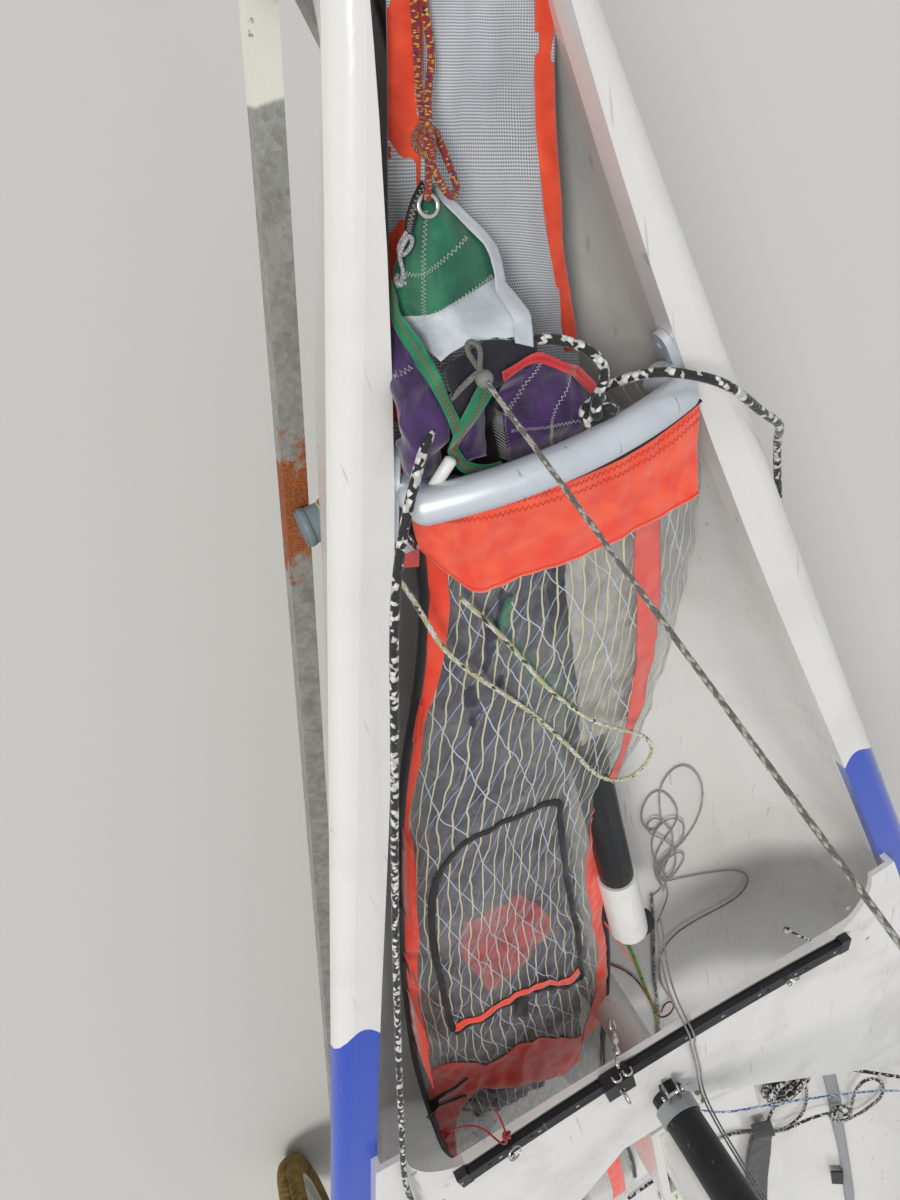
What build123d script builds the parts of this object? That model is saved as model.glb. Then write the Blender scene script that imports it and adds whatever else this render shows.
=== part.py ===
from build123d import *
import os
from math import asin, atan, cos, degrees, pi, radians, sin, tan

# Two-person skiff dinghy, mast up and sails off, on its launching trolley.
# Millimetres. +X to the bow, +Y to port, +Z up, floor at Z = 0, centreline at Y = 0.
# X = 0 is midway between the bowsprit's tip and the raised rudder blade's tip.

# Hull
HULL_LENGTH = 4400
DECK_Z = 760
GUNWALE_RADIUS = 22
WELL_START = 160
WELL_WALL_TOP = 24
FLOOR_SPLIT_Z = 500

# Bowsprit
POLE_REACH = 900
POLE_RADIUS = 25
POLE_DEPTH = 112
POLE_INNER_END = 1430
POLE_SIDE_SHIFT = 45
POLE_SLEEVE_LENGTH = 150
POLE_SLEEVE_WALL = 4
SEAT_GAP = 0.3

# Rudder
RUDDER_AXIS_AFT = 46
BLADE_PIVOT_AFT = 130
BLADE_REACH = 740
BLADE_CHORD = 205
BLADE_THICKNESS = 20
BLADE_PIVOT_Z = 470
BRACKET_LOW_Z = 410
BRACKET_TOP_Z = 640
BRACKET_WIDTH = 70
LUG_HEIGHTS = (440, 610)
STOCK_ARM_RISE = 15
TILLER_Z = 824

# Thwart, jib track and mast
THWART_FRONT = 1506
THWART_AFT = 1804
THWART_AFT_HALF = 93
THWART_TOP = 20
THWART_THICKNESS = 46
THWART_LIP = 8
THWART_UNDERCUT = 115
TRACK_FROM_THWART_FRONT = 15
TRACK_BEND_RADIUS = 2650
TRACK_HALF = 327
TRACK_WIDTH = 25
TRACK_WAIST = 13
TRACK_HEIGHT = 14
TRACK_HEAD = 8
CAP_LENGTH = 18
CAR_LENGTH = 46
CAR_REST = 82
MAST_FROM_THWART_FRONT = 194
MAST_RADIUS = 30
MAST_FOOT_RISE = 39
MASTHEAD_Z = 7010
MAST_JOINT_Z = 5300
HOUNDS_Z = 5180
SPREADER_Z = 3300
CHAINPLATE_STATION = 2150
CHAINPLATE_HALF = 655
CHAINPLATE_RISE = 30

# Centreboard and its case
BOARD_FRONT = 1915
BOARD_CHORD = 300
BOARD_THICKNESS = 28
BOARD_LENGTH = 1030
SLOT_GAP = 5
CASE_WALL = 12

# Boom
GOOSENECK_Z = 1420
GOOSENECK_AFT = 62
BOOM_LENGTH = 1950
BOOM_RADIUS = 27
BOOM_LIFT_DEG = 6

# Chute in the foredeck
HOOP_STATION = 490
HOOP_HALF = 116
HOOP_RADIUS = 15
HOOP_SHOULDER = 19
HOOP_RISE = 22

# Trolley
AXLE_STATION = 2850
AXLE_RADIUS = 12
WHEEL_RADIUS = 190
TYRE_WIDTH = 70
WHEEL_TRACK_HALF = 820
LEG_TUBE = 30
LEG_MEET_STATION = 88
LEG_HEAD_STATION = 124
LEG_SPREAD = 0.267
DRAWBAR_TUBE = 34
DRAWBAR_AFT_STATION = 165
CROSSBAR_STATION = 715
SLEEVE_RADIUS = 24
HANDLE_REACH = 560
HANDLE_Z = 420
HANDLE_WIDTH = 460
HANDLE_RADIUS = 15
GRIP_LENGTH = 110
GRIP_WALL = 2
FOOT_STATION = 40
FOOT_PAD_RADIUS = 65
FOOT_PAD_THICKNESS = 6
FOOT_POST_RADIUS = 17

# Cords
SHEET_DIAMETER = 8
RETRIEVAL_DIAMETER = 5
COIL_MID_RADIUS = 55
COIL_TUBE_RADIUS = 20

stem_x = (HULL_LENGTH + BLADE_PIVOT_AFT + BLADE_REACH - POLE_REACH) / 2
transom_x = stem_x - HULL_LENGTH
mast_x = stem_x - THWART_FRONT - MAST_FROM_THWART_FRONT
axle_x = stem_x - AXLE_STATION
pole_z = DECK_Z - POLE_DEPTH
thwart_top_z = DECK_Z + THWART_TOP
thwart_under_z = thwart_top_z - THWART_THICKNESS

os.makedirs("parts", exist_ok=True)


def save(node, shape):
    solids = shape.solids()
    body = solids[0] if len(solids) == 1 else Compound(children=list(solids))
    export_step(body, f"parts/{node}.step")


def tube_between(start, end, radius):
    start, end = Vector(*start), Vector(*end)
    along = end - start
    plane = Plane(origin=start, z_dir=along)
    return extrude(plane * Circle(radius), along.length)


def bar_between(start, end, width, height):
    start, end = Vector(*start), Vector(*end)
    along = end - start
    level = Vector(-along.Y, along.X, 0)
    plane = Plane(origin=start, x_dir=level, z_dir=along)
    return extrude(plane * Rectangle(width, height), along.length)


def box_at(x, y, z, length, width, height):
    return Pos(x, y, z) * Box(length, width, height)


def mirror_side(shape):
    return mirror(shape, about=Plane.XZ)


# Hull sections: distance aft of the stem, keel height, chine half-width and height, deck half-width.
HULL_SECTIONS = [
    (0, 530, 27, 580, 38),
    (190, 440, 22, 528, 89),
    (490, 398, 112, 478, 185),
    (1100, 368, 236, 448, 382),
    (1650, 356, 336, 432, 562),
    (2300, 352, 436, 424, 742),
    (HULL_LENGTH - 1400, 358, 500, 424, 840),
    (HULL_LENGTH - 700, 374, 520, 430, 838),
    (HULL_LENGTH, 398, 500, 442, 778),
]


def hull_section(station, keel_z, chine_half, chine_z, deck_half):
    r = GUNWALE_RADIUS
    roll = r * (1 - cos(radians(45)))
    plane = Plane(origin=(stem_x - station, 0, 0), x_dir=(0, 1, 0), z_dir=(1, 0, 0))
    with BuildSketch(plane) as sketch:
        with BuildLine():
            for side in (1, -1):
                Line((0, keel_z), (side * chine_half, chine_z))
                Line((side * chine_half, chine_z), (side * deck_half, DECK_Z - r))
                ThreePointArc(
                    (side * deck_half, DECK_Z - r),
                    (side * (deck_half - roll), DECK_Z - roll),
                    (side * (deck_half - r), DECK_Z),
                )
            Line((deck_half - r, DECK_Z), (r - deck_half, DECK_Z))
        make_face()
    return sketch.sketch


# Well and cockpit: distance aft of the stem, half-width at the top, half-width and depth of the floor.
WELL_SECTIONS = [
    (WELL_START, 58, 36, 150),
    (490, 135, 62, 172),
    (1100, 326, 190, 205),
    (1650, 492, 320, 226),
    (2300, 640, 330, 208),
    (HULL_LENGTH - 1400, 730, 400, 204),
    (HULL_LENGTH - 700, 728, 400, 204),
    (HULL_LENGTH + 60, 668, 380, 204),
]


def well_section(station, top_half, floor_half, depth):
    wall = WELL_WALL_TOP
    mid_half = floor_half + 0.80 * (top_half - floor_half)
    mid_depth = wall + 0.64 * (depth - wall)
    plane = Plane(origin=(stem_x - station, 0, DECK_Z), x_dir=(0, 1, 0), z_dir=(1, 0, 0))
    with BuildSketch(plane) as sketch:
        with BuildLine():
            Line((-top_half, 60), (top_half, 60))
            for side in (1, -1):
                Line((side * top_half, 60), (side * top_half, -wall))
                ThreePointArc(
                    (side * top_half, -wall),
                    (side * mid_half, -mid_depth),
                    (side * floor_half, -depth),
                )
            Line((floor_half, -depth), (-floor_half, -depth))
        make_face()
    return sketch.sketch


hull_form = loft([hull_section(*row) for row in HULL_SECTIONS])
well_void = loft([well_section(*row) for row in WELL_SECTIONS])

# Bowsprit: a straight tube with round ends, its inner end a little to starboard.
pole_slope = POLE_SIDE_SHIFT / POLE_INNER_END


def pole_point(station):
    return (stem_x - station, -pole_slope * station, pole_z)


pole_front = pole_point(-POLE_REACH)
pole_inner = pole_point(POLE_INNER_END)

bowsprit = tube_between(pole_inner, pole_front, POLE_RADIUS)
bowsprit = fillet(bowsprit.edges().sort_by(Axis.X)[-1], 10)
sleeve_front = pole_point(POLE_INNER_END - POLE_SLEEVE_LENGTH)
pole_sleeve = tube_between(pole_inner, sleeve_front, POLE_RADIUS + POLE_SLEEVE_WALL)
pole_sleeve -= tube_between(pole_point(POLE_INNER_END + 20), pole_front, POLE_RADIUS)

# Centreboard slot, right through the hull and the cockpit floor.
board_mid_x = stem_x - BOARD_FRONT - BOARD_CHORD / 2
slot_length = BOARD_CHORD + 2 * SLOT_GAP
slot_width = BOARD_THICKNESS + 2 * SLOT_GAP
slot = box_at(board_mid_x, 0, DECK_Z / 2 + 100, slot_length, slot_width, DECK_Z + 400)

hull = hull_form - well_void
hull -= tube_between(pole_point(WELL_START + 60), pole_point(-60), POLE_RADIUS + SEAT_GAP)
hull -= slot

# The bottom moulding below the cockpit floor, and the two sides of the deck moulding above it.
LONG = 3 * HULL_LENGTH
low_half = box_at(0, 0, FLOOR_SPLIT_Z - LONG / 2, LONG, LONG, LONG)
port_half = box_at(0, LONG / 2, FLOOR_SPLIT_Z + LONG / 2, LONG, LONG, LONG)
save("hull_bottom", hull & low_half)
save("deck_port", hull & port_half)
save("deck_starboard", hull & mirror_side(port_half))
save("bowsprit", bowsprit)
save("bowsprit_sleeve", pole_sleeve)

# Thwart under the mast: its front edge follows the track, two horns reach forward along the side decks,
# and its aft edge sweeps back from the middle to the sides.
thwart_front_x = stem_x - THWART_FRONT
bend_centre_x = thwart_front_x - TRACK_FROM_THWART_FRONT - TRACK_BEND_RADIUS
front_radius = TRACK_BEND_RADIUS + TRACK_FROM_THWART_FRONT


def on_front_edge(half):
    return (bend_centre_x + front_radius * cos(asin(half / front_radius)), half)


# Thwart outline aft of its front edge: distance aft of that edge, half-width.
HORN_ROOT = (-16, 373)
HORN_TIP = (-94, 389)
THWART_OUTLINE = [
    (-98, 432),
    (144, 505),
    (444, 588),
    (736, 650),
    (845, 660),
    (THWART_AFT - THWART_FRONT, THWART_AFT_HALF),
]
with BuildSketch(Plane.XY.offset(thwart_under_z)) as thwart_plan:
    with BuildLine():
        ThreePointArc(on_front_edge(-TRACK_HALF), on_front_edge(0), on_front_edge(TRACK_HALF))
        for side in (1, -1):
            edge_x, edge_y = on_front_edge(TRACK_HALF)
            root = (thwart_front_x - HORN_ROOT[0], side * HORN_ROOT[1])
            tip = (thwart_front_x - HORN_TIP[0], side * HORN_TIP[1])
            ThreePointArc((edge_x, side * edge_y), root, tip)
            corners = [tip] + [(thwart_front_x - back, side * half) for back, half in THWART_OUTLINE]
            Polyline(*corners)
        aft_x = stem_x - THWART_AFT
        Line((aft_x, THWART_AFT_HALF), (aft_x, -THWART_AFT_HALF))
    make_face()
thwart = extrude(thwart_plan.sketch, THWART_THICKNESS)
thwart -= hull

# Over the open well the front edge is a thin lip, and the underside slopes back from it.
lip_z = thwart_top_z - THWART_LIP
undercut = Plane.XZ * make_face(
    Polyline(
        (thwart_front_x + 200, lip_z),
        (thwart_front_x, lip_z),
        (thwart_front_x - THWART_UNDERCUT, thwart_under_z - 1),
        (thwart_front_x + 200, thwart_under_z - 1),
        close=True,
    )
)
thwart -= extrude(undercut, HULL_LENGTH, both=True) & well_void

# Post that carries the mast's load from the thwart to the floor.
POST_RADIUS = 32
floor_probe = box_at(mast_x, 0, DECK_Z - 300, 2, 2, 200) & hull
post_foot_z = floor_probe.bounding_box().max.Z
mast_post = Pos(mast_x, 0, post_foot_z) * extrude(Circle(POST_RADIUS), thwart_under_z - post_foot_z)
mast_post -= hull
save("thwart", thwart)
save("mast_post", mast_post)

# Centreboard case: a trunk from the cockpit floor to thwart height, joined to the thwart.
case_top_z = DECK_Z - 6
case_outer = box_at(
    board_mid_x, 0, case_top_z - 160, slot_length + 2 * CASE_WALL, slot_width + 2 * CASE_WALL, 320
)
guide_height = 22
guide_outer = box_at(board_mid_x, 0, case_top_z - guide_height / 2, slot_length, slot_width, guide_height)
guide_mouth = box_at(
    board_mid_x, 0, case_top_z, BOARD_CHORD + 2 * SEAT_GAP, BOARD_THICKNESS + 2 * SEAT_GAP, 3 * guide_height
)
board_case = case_outer - slot - hull - thwart
board_case += guide_outer - guide_mouth
save("board_case", board_case)

# Centreboard: blunt nose, thin trailing edge, drawn up in its case.
board_bottom_z = 356


def foil_plan(chord, thickness):
    nose = thickness / 2
    with BuildSketch() as sketch:
        with BuildLine():
            ThreePointArc((chord / 2 - nose, nose), (chord / 2, 0), (chord / 2 - nose, -nose))
            for side in (1, -1):
                Line((chord / 2 - nose, side * nose), (-chord * 0.1, side * nose))
                Line((-chord * 0.1, side * nose), (-chord / 2, side * 1.5))
            Line((-chord / 2, 1.5), (-chord / 2, -1.5))
        make_face()
    return sketch.sketch


board = extrude(Plane.XY * foil_plan(BOARD_CHORD, BOARD_THICKNESS), BOARD_LENGTH)
save("centreboard", Pos(board_mid_x, 0, board_bottom_z) * board)

# Jib track bent to an arc on the thwart, its two end caps, and the car that slides along it.
track_top_z = thwart_top_z + TRACK_HEIGHT
track_half_deg = degrees(asin(TRACK_HALF / TRACK_BEND_RADIUS))
bend_axis = Axis((bend_centre_x, 0, 0), (0, 0, 1))
track_x = bend_centre_x + TRACK_BEND_RADIUS


def rail(width, low_z, high_z, half_deg):
    section = Plane.XZ * Pos(track_x, (low_z + high_z) / 2) * Rectangle(width, high_z - low_z)
    return revolve(section, bend_axis, 2 * half_deg).rotate(bend_axis, -half_deg)


def along_track(shape, along):
    return shape.rotate(bend_axis, degrees(asin(along / TRACK_BEND_RADIUS)))


track = rail(TRACK_WAIST, thwart_top_z, track_top_z, track_half_deg)
track += rail(TRACK_WIDTH, track_top_z - TRACK_HEAD, track_top_z, track_half_deg)
cap = box_at(track_x, 0, thwart_top_z + TRACK_HEIGHT / 2, TRACK_WIDTH + 6, CAP_LENGTH, TRACK_HEIGHT)
caps = [along_track(cap, side * (TRACK_HALF + CAP_LENGTH / 2 + SEAT_GAP)) for side in (1, -1)]
CAR_GAP = 0.3
CAR_UNDER = 3.5
CAR_ABOVE = 12
CAR_WALL = 7
car_top_z = track_top_z + CAR_ABOVE
car = box_at(
    track_x,
    0,
    (thwart_top_z + CAR_UNDER + car_top_z) / 2,
    TRACK_WIDTH + 2 * CAR_WALL,
    CAR_LENGTH,
    car_top_z - thwart_top_z - CAR_UNDER,
)
head_low_z = track_top_z - TRACK_HEAD
car = along_track(car, CAR_REST)
car -= rail(TRACK_WIDTH + 2 * CAR_GAP, head_low_z - CAR_GAP, track_top_z + CAR_GAP, track_half_deg)
car -= rail(TRACK_WAIST + 2 * CAR_GAP, thwart_top_z, track_top_z, track_half_deg)
shackle = Pos(track_x, 0, car_top_z + 12) * (Rot(90, 0, 0) * Torus(9, 2.5))
shackle += box_at(track_x, 0, car_top_z + 1.5, 12, 8, 3)
save("jib_track", track)
save("track_caps", Compound(children=caps))
save("jib_car", car)
save("jib_shackle", along_track(shackle, CAR_REST))

# Mast: step plate, collar, aluminium lower tube and tapered top.
mast_foot_z = DECK_Z + MAST_FOOT_RISE
STEP_LENGTH = 92
STEP_WIDTH = 24
step = box_at(
    mast_x, 0, (thwart_top_z + mast_foot_z) / 2, STEP_LENGTH, STEP_WIDTH, mast_foot_z - thwart_top_z
)
step += Pos(mast_x, 0, thwart_top_z) * extrude(Circle(MAST_RADIUS - 3), mast_foot_z - thwart_top_z)
save("mast_step", step)
COLLAR_WALL = 3
collar_height = 24
lower_tube = Pos(mast_x, 0, mast_foot_z) * extrude(Circle(MAST_RADIUS), MAST_JOINT_Z - mast_foot_z)
collar = Pos(mast_x, 0, mast_foot_z) * extrude(Circle(MAST_RADIUS + COLLAR_WALL), collar_height)
collar -= Pos(mast_x, 0, mast_foot_z) * extrude(Circle(MAST_RADIUS), collar_height)
top_low = Plane.XY.offset(MAST_JOINT_Z) * Pos(mast_x, 0) * Circle(MAST_RADIUS - 4)
top_high = Plane.XY.offset(MASTHEAD_Z) * Pos(mast_x, 0) * Circle(15)
save("mast_collar", collar)
save("mast_lower", lower_tube)
save("mast_top", loft([top_low, top_high]))

# Spreaders, swept aft from a bracket that clamps the mast.
spreader_aft = 150
spreader_out = 330
bracket_wall = 5
bracket = Pos(mast_x, 0, SPREADER_Z - 20) * extrude(Circle(MAST_RADIUS + bracket_wall), 40)
mast_hole = Pos(mast_x, 0, 0) * extrude(Circle(MAST_RADIUS), MAST_JOINT_Z)
spreaders = bracket
for side in (1, -1):
    root = (mast_x - 8, side * (MAST_RADIUS - 4), SPREADER_Z)
    tip = (mast_x - spreader_aft, side * spreader_out, SPREADER_Z)
    spreaders += tube_between(root, tip, 9)
spreaders -= mast_hole
save("spreaders", spreaders)

# Main stays: two shrouds over the spreader tips to the chainplates, and the forestay to the stem.
WIRE_RADIUS = 2.5
CHAINPLATE_LENGTH = 24
CHAINPLATE_THICKNESS = 4
chain_x = stem_x - CHAINPLATE_STATION
chain_top_z = DECK_Z + CHAINPLATE_RISE
chainplates = []
for side, name in ((1, "port"), (-1, "starboard")):
    tip = (mast_x - spreader_aft - 9, side * (spreader_out + 9), SPREADER_Z)
    foot = (chain_x, side * CHAINPLATE_HALF, chain_top_z)
    head = (mast_x - 16, side * (MAST_RADIUS - 6), HOUNDS_Z)
    shroud = tube_between(foot, tip, WIRE_RADIUS) + tube_between(tip, head, WIRE_RADIUS)
    shroud += Pos(*tip) * Sphere(WIRE_RADIUS)
    shroud -= spreaders
    shroud -= lower_tube
    plate = box_at(
        chain_x,
        side * CHAINPLATE_HALF,
        DECK_Z + CHAINPLATE_RISE / 2,
        CHAINPLATE_LENGTH,
        CHAINPLATE_THICKNESS,
        CHAINPLATE_RISE,
    )
    shroud -= plate
    save(f"shroud_{name}", shroud)
    chainplates.append(plate)
save("chainplates", Compound(children=chainplates))
stay_foot = (stem_x - 62, 0, DECK_Z + 22)
forestay = tube_between(stay_foot, (mast_x + 20, 0, HOUNDS_Z), WIRE_RADIUS) - lower_tube
bow_plate = box_at(stem_x - 68, 0, DECK_Z + 11, 60, 5, 22)
bow_plate -= Pos(stem_x - 86, 0, DECK_Z + 12) * (Rot(90, 0, 0) * Cylinder(4, 20))
forestay -= bow_plate
save("forestay", forestay)
save("bow_plate", bow_plate)

# Boom on a gooseneck pin behind the mast, its aft end held up by the main halyard.
pin_x = mast_x - GOOSENECK_AFT
gooseneck = Pos(mast_x, 0, GOOSENECK_Z - 24) * extrude(Circle(MAST_RADIUS + 4), 48)
lug_mid_x = (mast_x + pin_x - 6) / 2
for lug_z in (GOOSENECK_Z - 20, GOOSENECK_Z + 20):
    gooseneck += box_at(lug_mid_x, 0, lug_z, GOOSENECK_AFT + 6, 22, 6)
gooseneck -= mast_hole
gooseneck += Pos(pin_x, 0, GOOSENECK_Z - 26) * extrude(Circle(4), 52)
eye_height = 2 * (20 - 3) - 1
eye = Pos(pin_x, 0, GOOSENECK_Z - eye_height / 2) * extrude(Circle(10), eye_height)
lift = radians(BOOM_LIFT_DEG)
boom_end = (pin_x - BOOM_LENGTH * cos(lift), 0, GOOSENECK_Z + BOOM_LENGTH * sin(lift))
boom_root = (pin_x - 30 - 12, 0, GOOSENECK_Z + 12 * sin(lift))
boom_fork = eye + box_at(pin_x - 26, 0, GOOSENECK_Z, 40, 14, 20)
boom_fork -= Pos(pin_x, 0, GOOSENECK_Z - 40) * extrude(Circle(4.06), 80)
boom = tube_between(boom_root, boom_end, BOOM_RADIUS) - boom_fork
save("gooseneck", gooseneck)
save("boom_fork", boom_fork)
save("boom", boom)
halyard_low = (boom_end[0] + 40, 0, boom_end[2] + BOOM_RADIUS)
CRANE_UNDER_Z = MASTHEAD_Z - 35
ball_radius = 6
halyard_high = (pin_x, 0, CRANE_UNDER_Z - SEAT_GAP - ball_radius)
halyard = tube_between(halyard_low, halyard_high, 3) - boom
halyard += Pos(*halyard_high) * Sphere(ball_radius)
save("boom_halyard", halyard)

# Masthead crane that the main halyard hangs from.
crane = box_at((mast_x + pin_x) / 2 - 4, 0, CRANE_UNDER_Z + 15, GOOSENECK_AFT + 8, 20, 30)
mast_top_solid = loft([top_low, top_high])
save("masthead_crane", crane - mast_top_solid)

# Rudder: bracket on the transom, steering stock, tiller, extension and the blade swung up aft.
rudder_x = transom_x - RUDDER_AXIS_AFT
bracket_height = BRACKET_TOP_Z - BRACKET_LOW_Z
plate = box_at(transom_x - 3, 0, BRACKET_LOW_Z + bracket_height / 2, 6, BRACKET_WIDTH, bracket_height)
knee_top_z = BRACKET_TOP_Z - 40
knee = box_at(transom_x + 45, 0, (BRACKET_LOW_Z + knee_top_z) / 2, 90, 8, knee_top_z - BRACKET_LOW_Z) - hull
knee = knee.solids().sort_by(Axis.Z)[-1]
rudder_bracket = plate + knee
LUG_RADIUS = 14
LUG_THICKNESS = 10
pintle_radius = 5
for lug_z in LUG_HEIGHTS:
    lug = box_at(
        (transom_x - 6 + rudder_x) / 2, 0, lug_z, RUDDER_AXIS_AFT - 6, 2 * LUG_RADIUS, LUG_THICKNESS
    )
    lug += Pos(rudder_x, 0, lug_z - LUG_THICKNESS / 2) * extrude(Circle(LUG_RADIUS), LUG_THICKNESS)
    rudder_bracket += lug - Pos(rudder_x, 0, lug_z - 20) * extrude(Circle(pintle_radius + 0.06), 40)
pintle_length = LUG_HEIGHTS[1] - LUG_HEIGHTS[0] + 80
pintle = Pos(rudder_x, 0, LUG_HEIGHTS[0] - 40) * extrude(Circle(pintle_radius), pintle_length)
STOCK_HALF = 16
STOCK_WALL = 4
pivot_x = transom_x - BLADE_PIVOT_AFT
stock_front_x = rudder_x - 20
stock_aft_x = pivot_x - 45
stock_mid = (stock_front_x + stock_aft_x) / 2
stock_long = stock_front_x - stock_aft_x
STOCK_LOW_Z = 390
stock_slot_top = 620
tiller_front_x = transom_x + 880
TILLER_RADIUS = 15
tiller = tube_between((stock_aft_x + 10, 0, TILLER_Z), (tiller_front_x, 0, TILLER_Z), TILLER_RADIUS)
stock = box_at(
    stock_mid, 0, (STOCK_LOW_Z + TILLER_Z) / 2, stock_long, 2 * STOCK_HALF, TILLER_Z - STOCK_LOW_Z
)
slot_aft_x = stock_aft_x - 20
slot_front_x = stock_front_x - 8
stock -= box_at(
    (slot_aft_x + slot_front_x) / 2,
    0,
    (STOCK_LOW_Z - 20 + stock_slot_top) / 2,
    slot_front_x - slot_aft_x,
    2 * (STOCK_HALF - STOCK_WALL),
    stock_slot_top - STOCK_LOW_Z + 20,
)
for arm_z in (LUG_HEIGHTS[0] + STOCK_ARM_RISE, LUG_HEIGHTS[1] - STOCK_ARM_RISE):
    stock += box_at((rudder_x + stock_front_x) / 2 - 2, 0, arm_z, 46, 20, 16)
stock += box_at(rudder_x - 14, 0, LUG_HEIGHTS[1] + 36, 60, 2 * STOCK_HALF, 12)
stock += pintle
stock -= tiller
BLADE_PIN_RADIUS = 6
stock += Pos(pivot_x, 0, BLADE_PIVOT_Z) * (Rot(90, 0, 0) * Cylinder(BLADE_PIN_RADIUS, 2 * STOCK_HALF))
save("rudder_bracket", rudder_bracket)
save("rudder_stock", stock)

# Blade, drawn as it hangs down from its pivot and then swung up aft.
HEAD_RADIUS = 46
BODY_START = 62
body = Pos(HEAD_RADIUS - BLADE_CHORD / 2, 0, -BLADE_REACH) * extrude(
    Plane.XY * foil_plan(BLADE_CHORD, BLADE_THICKNESS), BLADE_REACH - BODY_START
)
blade = body + box_at(0, 0, -BODY_START / 2, 2 * HEAD_RADIUS, BLADE_THICKNESS, BODY_START)
blade += Rot(90, 0, 0) * Cylinder(HEAD_RADIUS, BLADE_THICKNESS)
blade -= Rot(90, 0, 0) * Cylinder(BLADE_PIN_RADIUS + 0.06, 100)
blade = Pos(pivot_x, 0, BLADE_PIVOT_Z) * Rot(0, 90, 0) * blade
save("rudder_blade", blade)

# Tiller with the pin that its extension turns on.
swivel_x = tiller_front_x - 20
tiller_top_z = TILLER_Z + TILLER_RADIUS
SWIVEL_RADIUS = 4
tiller += Pos(swivel_x, 0, TILLER_Z) * extrude(Circle(SWIVEL_RADIUS), TILLER_RADIUS + 22)
tiller += Pos(swivel_x, 0, tiller_top_z + 20.6) * extrude(Circle(9), 3)
EXTENSION_LENGTH = 980
extension_z = tiller_top_z + SEAT_GAP + 10
extension = tube_between((swivel_x + 8, 0, extension_z), (swivel_x + EXTENSION_LENGTH, 0, extension_z), 9)
extension += Pos(swivel_x, 0, extension_z - 10) * extrude(Circle(12), 20)
extension -= Pos(swivel_x, 0, extension_z - 20) * extrude(Circle(SWIVEL_RADIUS + 0.06), 40)
save("tiller", tiller)
save("tiller_extension", extension)

# Chute: hoop over its mouth with a foot on each wall of the well, front flap, long sock, launch mesh, and
# the stowed sail.
hoop_x = stem_x - HOOP_STATION
shoulder_z = DECK_Z + HOOP_SHOULDER
hoop_path = Edge.make_three_point_arc(
    Vector(hoop_x, HOOP_HALF, shoulder_z),
    Vector(hoop_x, 0, shoulder_z + HOOP_RISE),
    Vector(hoop_x, -HOOP_HALF, shoulder_z),
)
hoop_plane = Plane(origin=hoop_path @ 0, z_dir=hoop_path % 0)
hoop = sweep(hoop_plane * Circle(HOOP_RADIUS), path=hoop_path)
HOOP_LEG_DROP = 34
FOOT_LENGTH = 84
FOOT_HEIGHT = 22
FOOT_THICKNESS = 7
FOOT_INTO_LEG = 2
wall_out = WELL_SECTIONS[2][1] - WELL_SECTIONS[1][1]
wall_back = WELL_SECTIONS[2][0] - WELL_SECTIONS[1][0]
wall_turn = degrees(atan(wall_out / wall_back))
FOOT_Z = DECK_Z - 16
for side in (1, -1):
    hoop += Pos(hoop_x, side * HOOP_HALF, shoulder_z) * Sphere(HOOP_RADIUS)
    leg_low = Pos(hoop_x, side * HOOP_HALF, shoulder_z - HOOP_LEG_DROP)
    hoop += leg_low * extrude(Circle(HOOP_RADIUS), HOOP_LEG_DROP)
    with BuildSketch() as foot_plan:
        SlotOverall(FOOT_LENGTH, FOOT_HEIGHT)
        with Locations((FOOT_LENGTH / 2 - 12, 0), (12 - FOOT_LENGTH / 2, 0)):
            Circle(3, mode=Mode.SUBTRACT)
    foot = Rot(90, 0, 0) * extrude(foot_plan.sketch, FOOT_THICKNESS / 2, both=True)
    foot = Rot(0, 0, -side * wall_turn) * foot
    foot_half = HOOP_HALF + HOOP_RADIUS - FOOT_INTO_LEG + FOOT_THICKNESS / 2
    hoop += Pos(hoop_x, side * foot_half, FOOT_Z) * foot
hoop -= hull
save("chute_hoop", hoop)

# Flap that hangs aft from the hoop, its two edges as distance aft of the hoop, port corner, starboard corner
# and height over the deck.
FLAP_THICKNESS = 3
FLAP_TOP = (HOOP_RADIUS + 0.1, 116, -118, 22)
FLAP_LOW = (118, 88, -124, -8)
flap_section = Plane.XZ * make_face(
    Polyline(
        (hoop_x - FLAP_TOP[0], DECK_Z + FLAP_TOP[3]),
        (hoop_x - FLAP_LOW[0], DECK_Z + FLAP_LOW[3]),
        (hoop_x - FLAP_LOW[0], DECK_Z + FLAP_LOW[3] - FLAP_THICKNESS),
        (hoop_x - FLAP_TOP[0], DECK_Z + FLAP_TOP[3] - FLAP_THICKNESS),
        close=True,
    )
)
flap_plan = make_face(
    Polyline(
        (hoop_x - FLAP_TOP[0], FLAP_TOP[1]),
        (hoop_x - FLAP_LOW[0], FLAP_LOW[1]),
        (hoop_x - FLAP_LOW[0], FLAP_LOW[2]),
        (hoop_x - FLAP_TOP[0], FLAP_TOP[2]),
        close=True,
    )
)
flap = extrude(flap_section, HOOP_STATION, both=True) & extrude(flap_plan, 2 * DECK_Z)
save("chute_flap", flap)

# Launch mesh: it slopes down from the bow end of the well to the hoop.
MESH_FRONT_DEPTH = 30
MESH_AFT_DEPTH = 108
MESH_THICKNESS = 3
mesh_front = WELL_START + 1


def mesh_z(station):
    share = (station - mesh_front) / (HOOP_STATION - mesh_front)
    return DECK_Z - MESH_FRONT_DEPTH - share * (MESH_AFT_DEPTH - MESH_FRONT_DEPTH)


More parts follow.
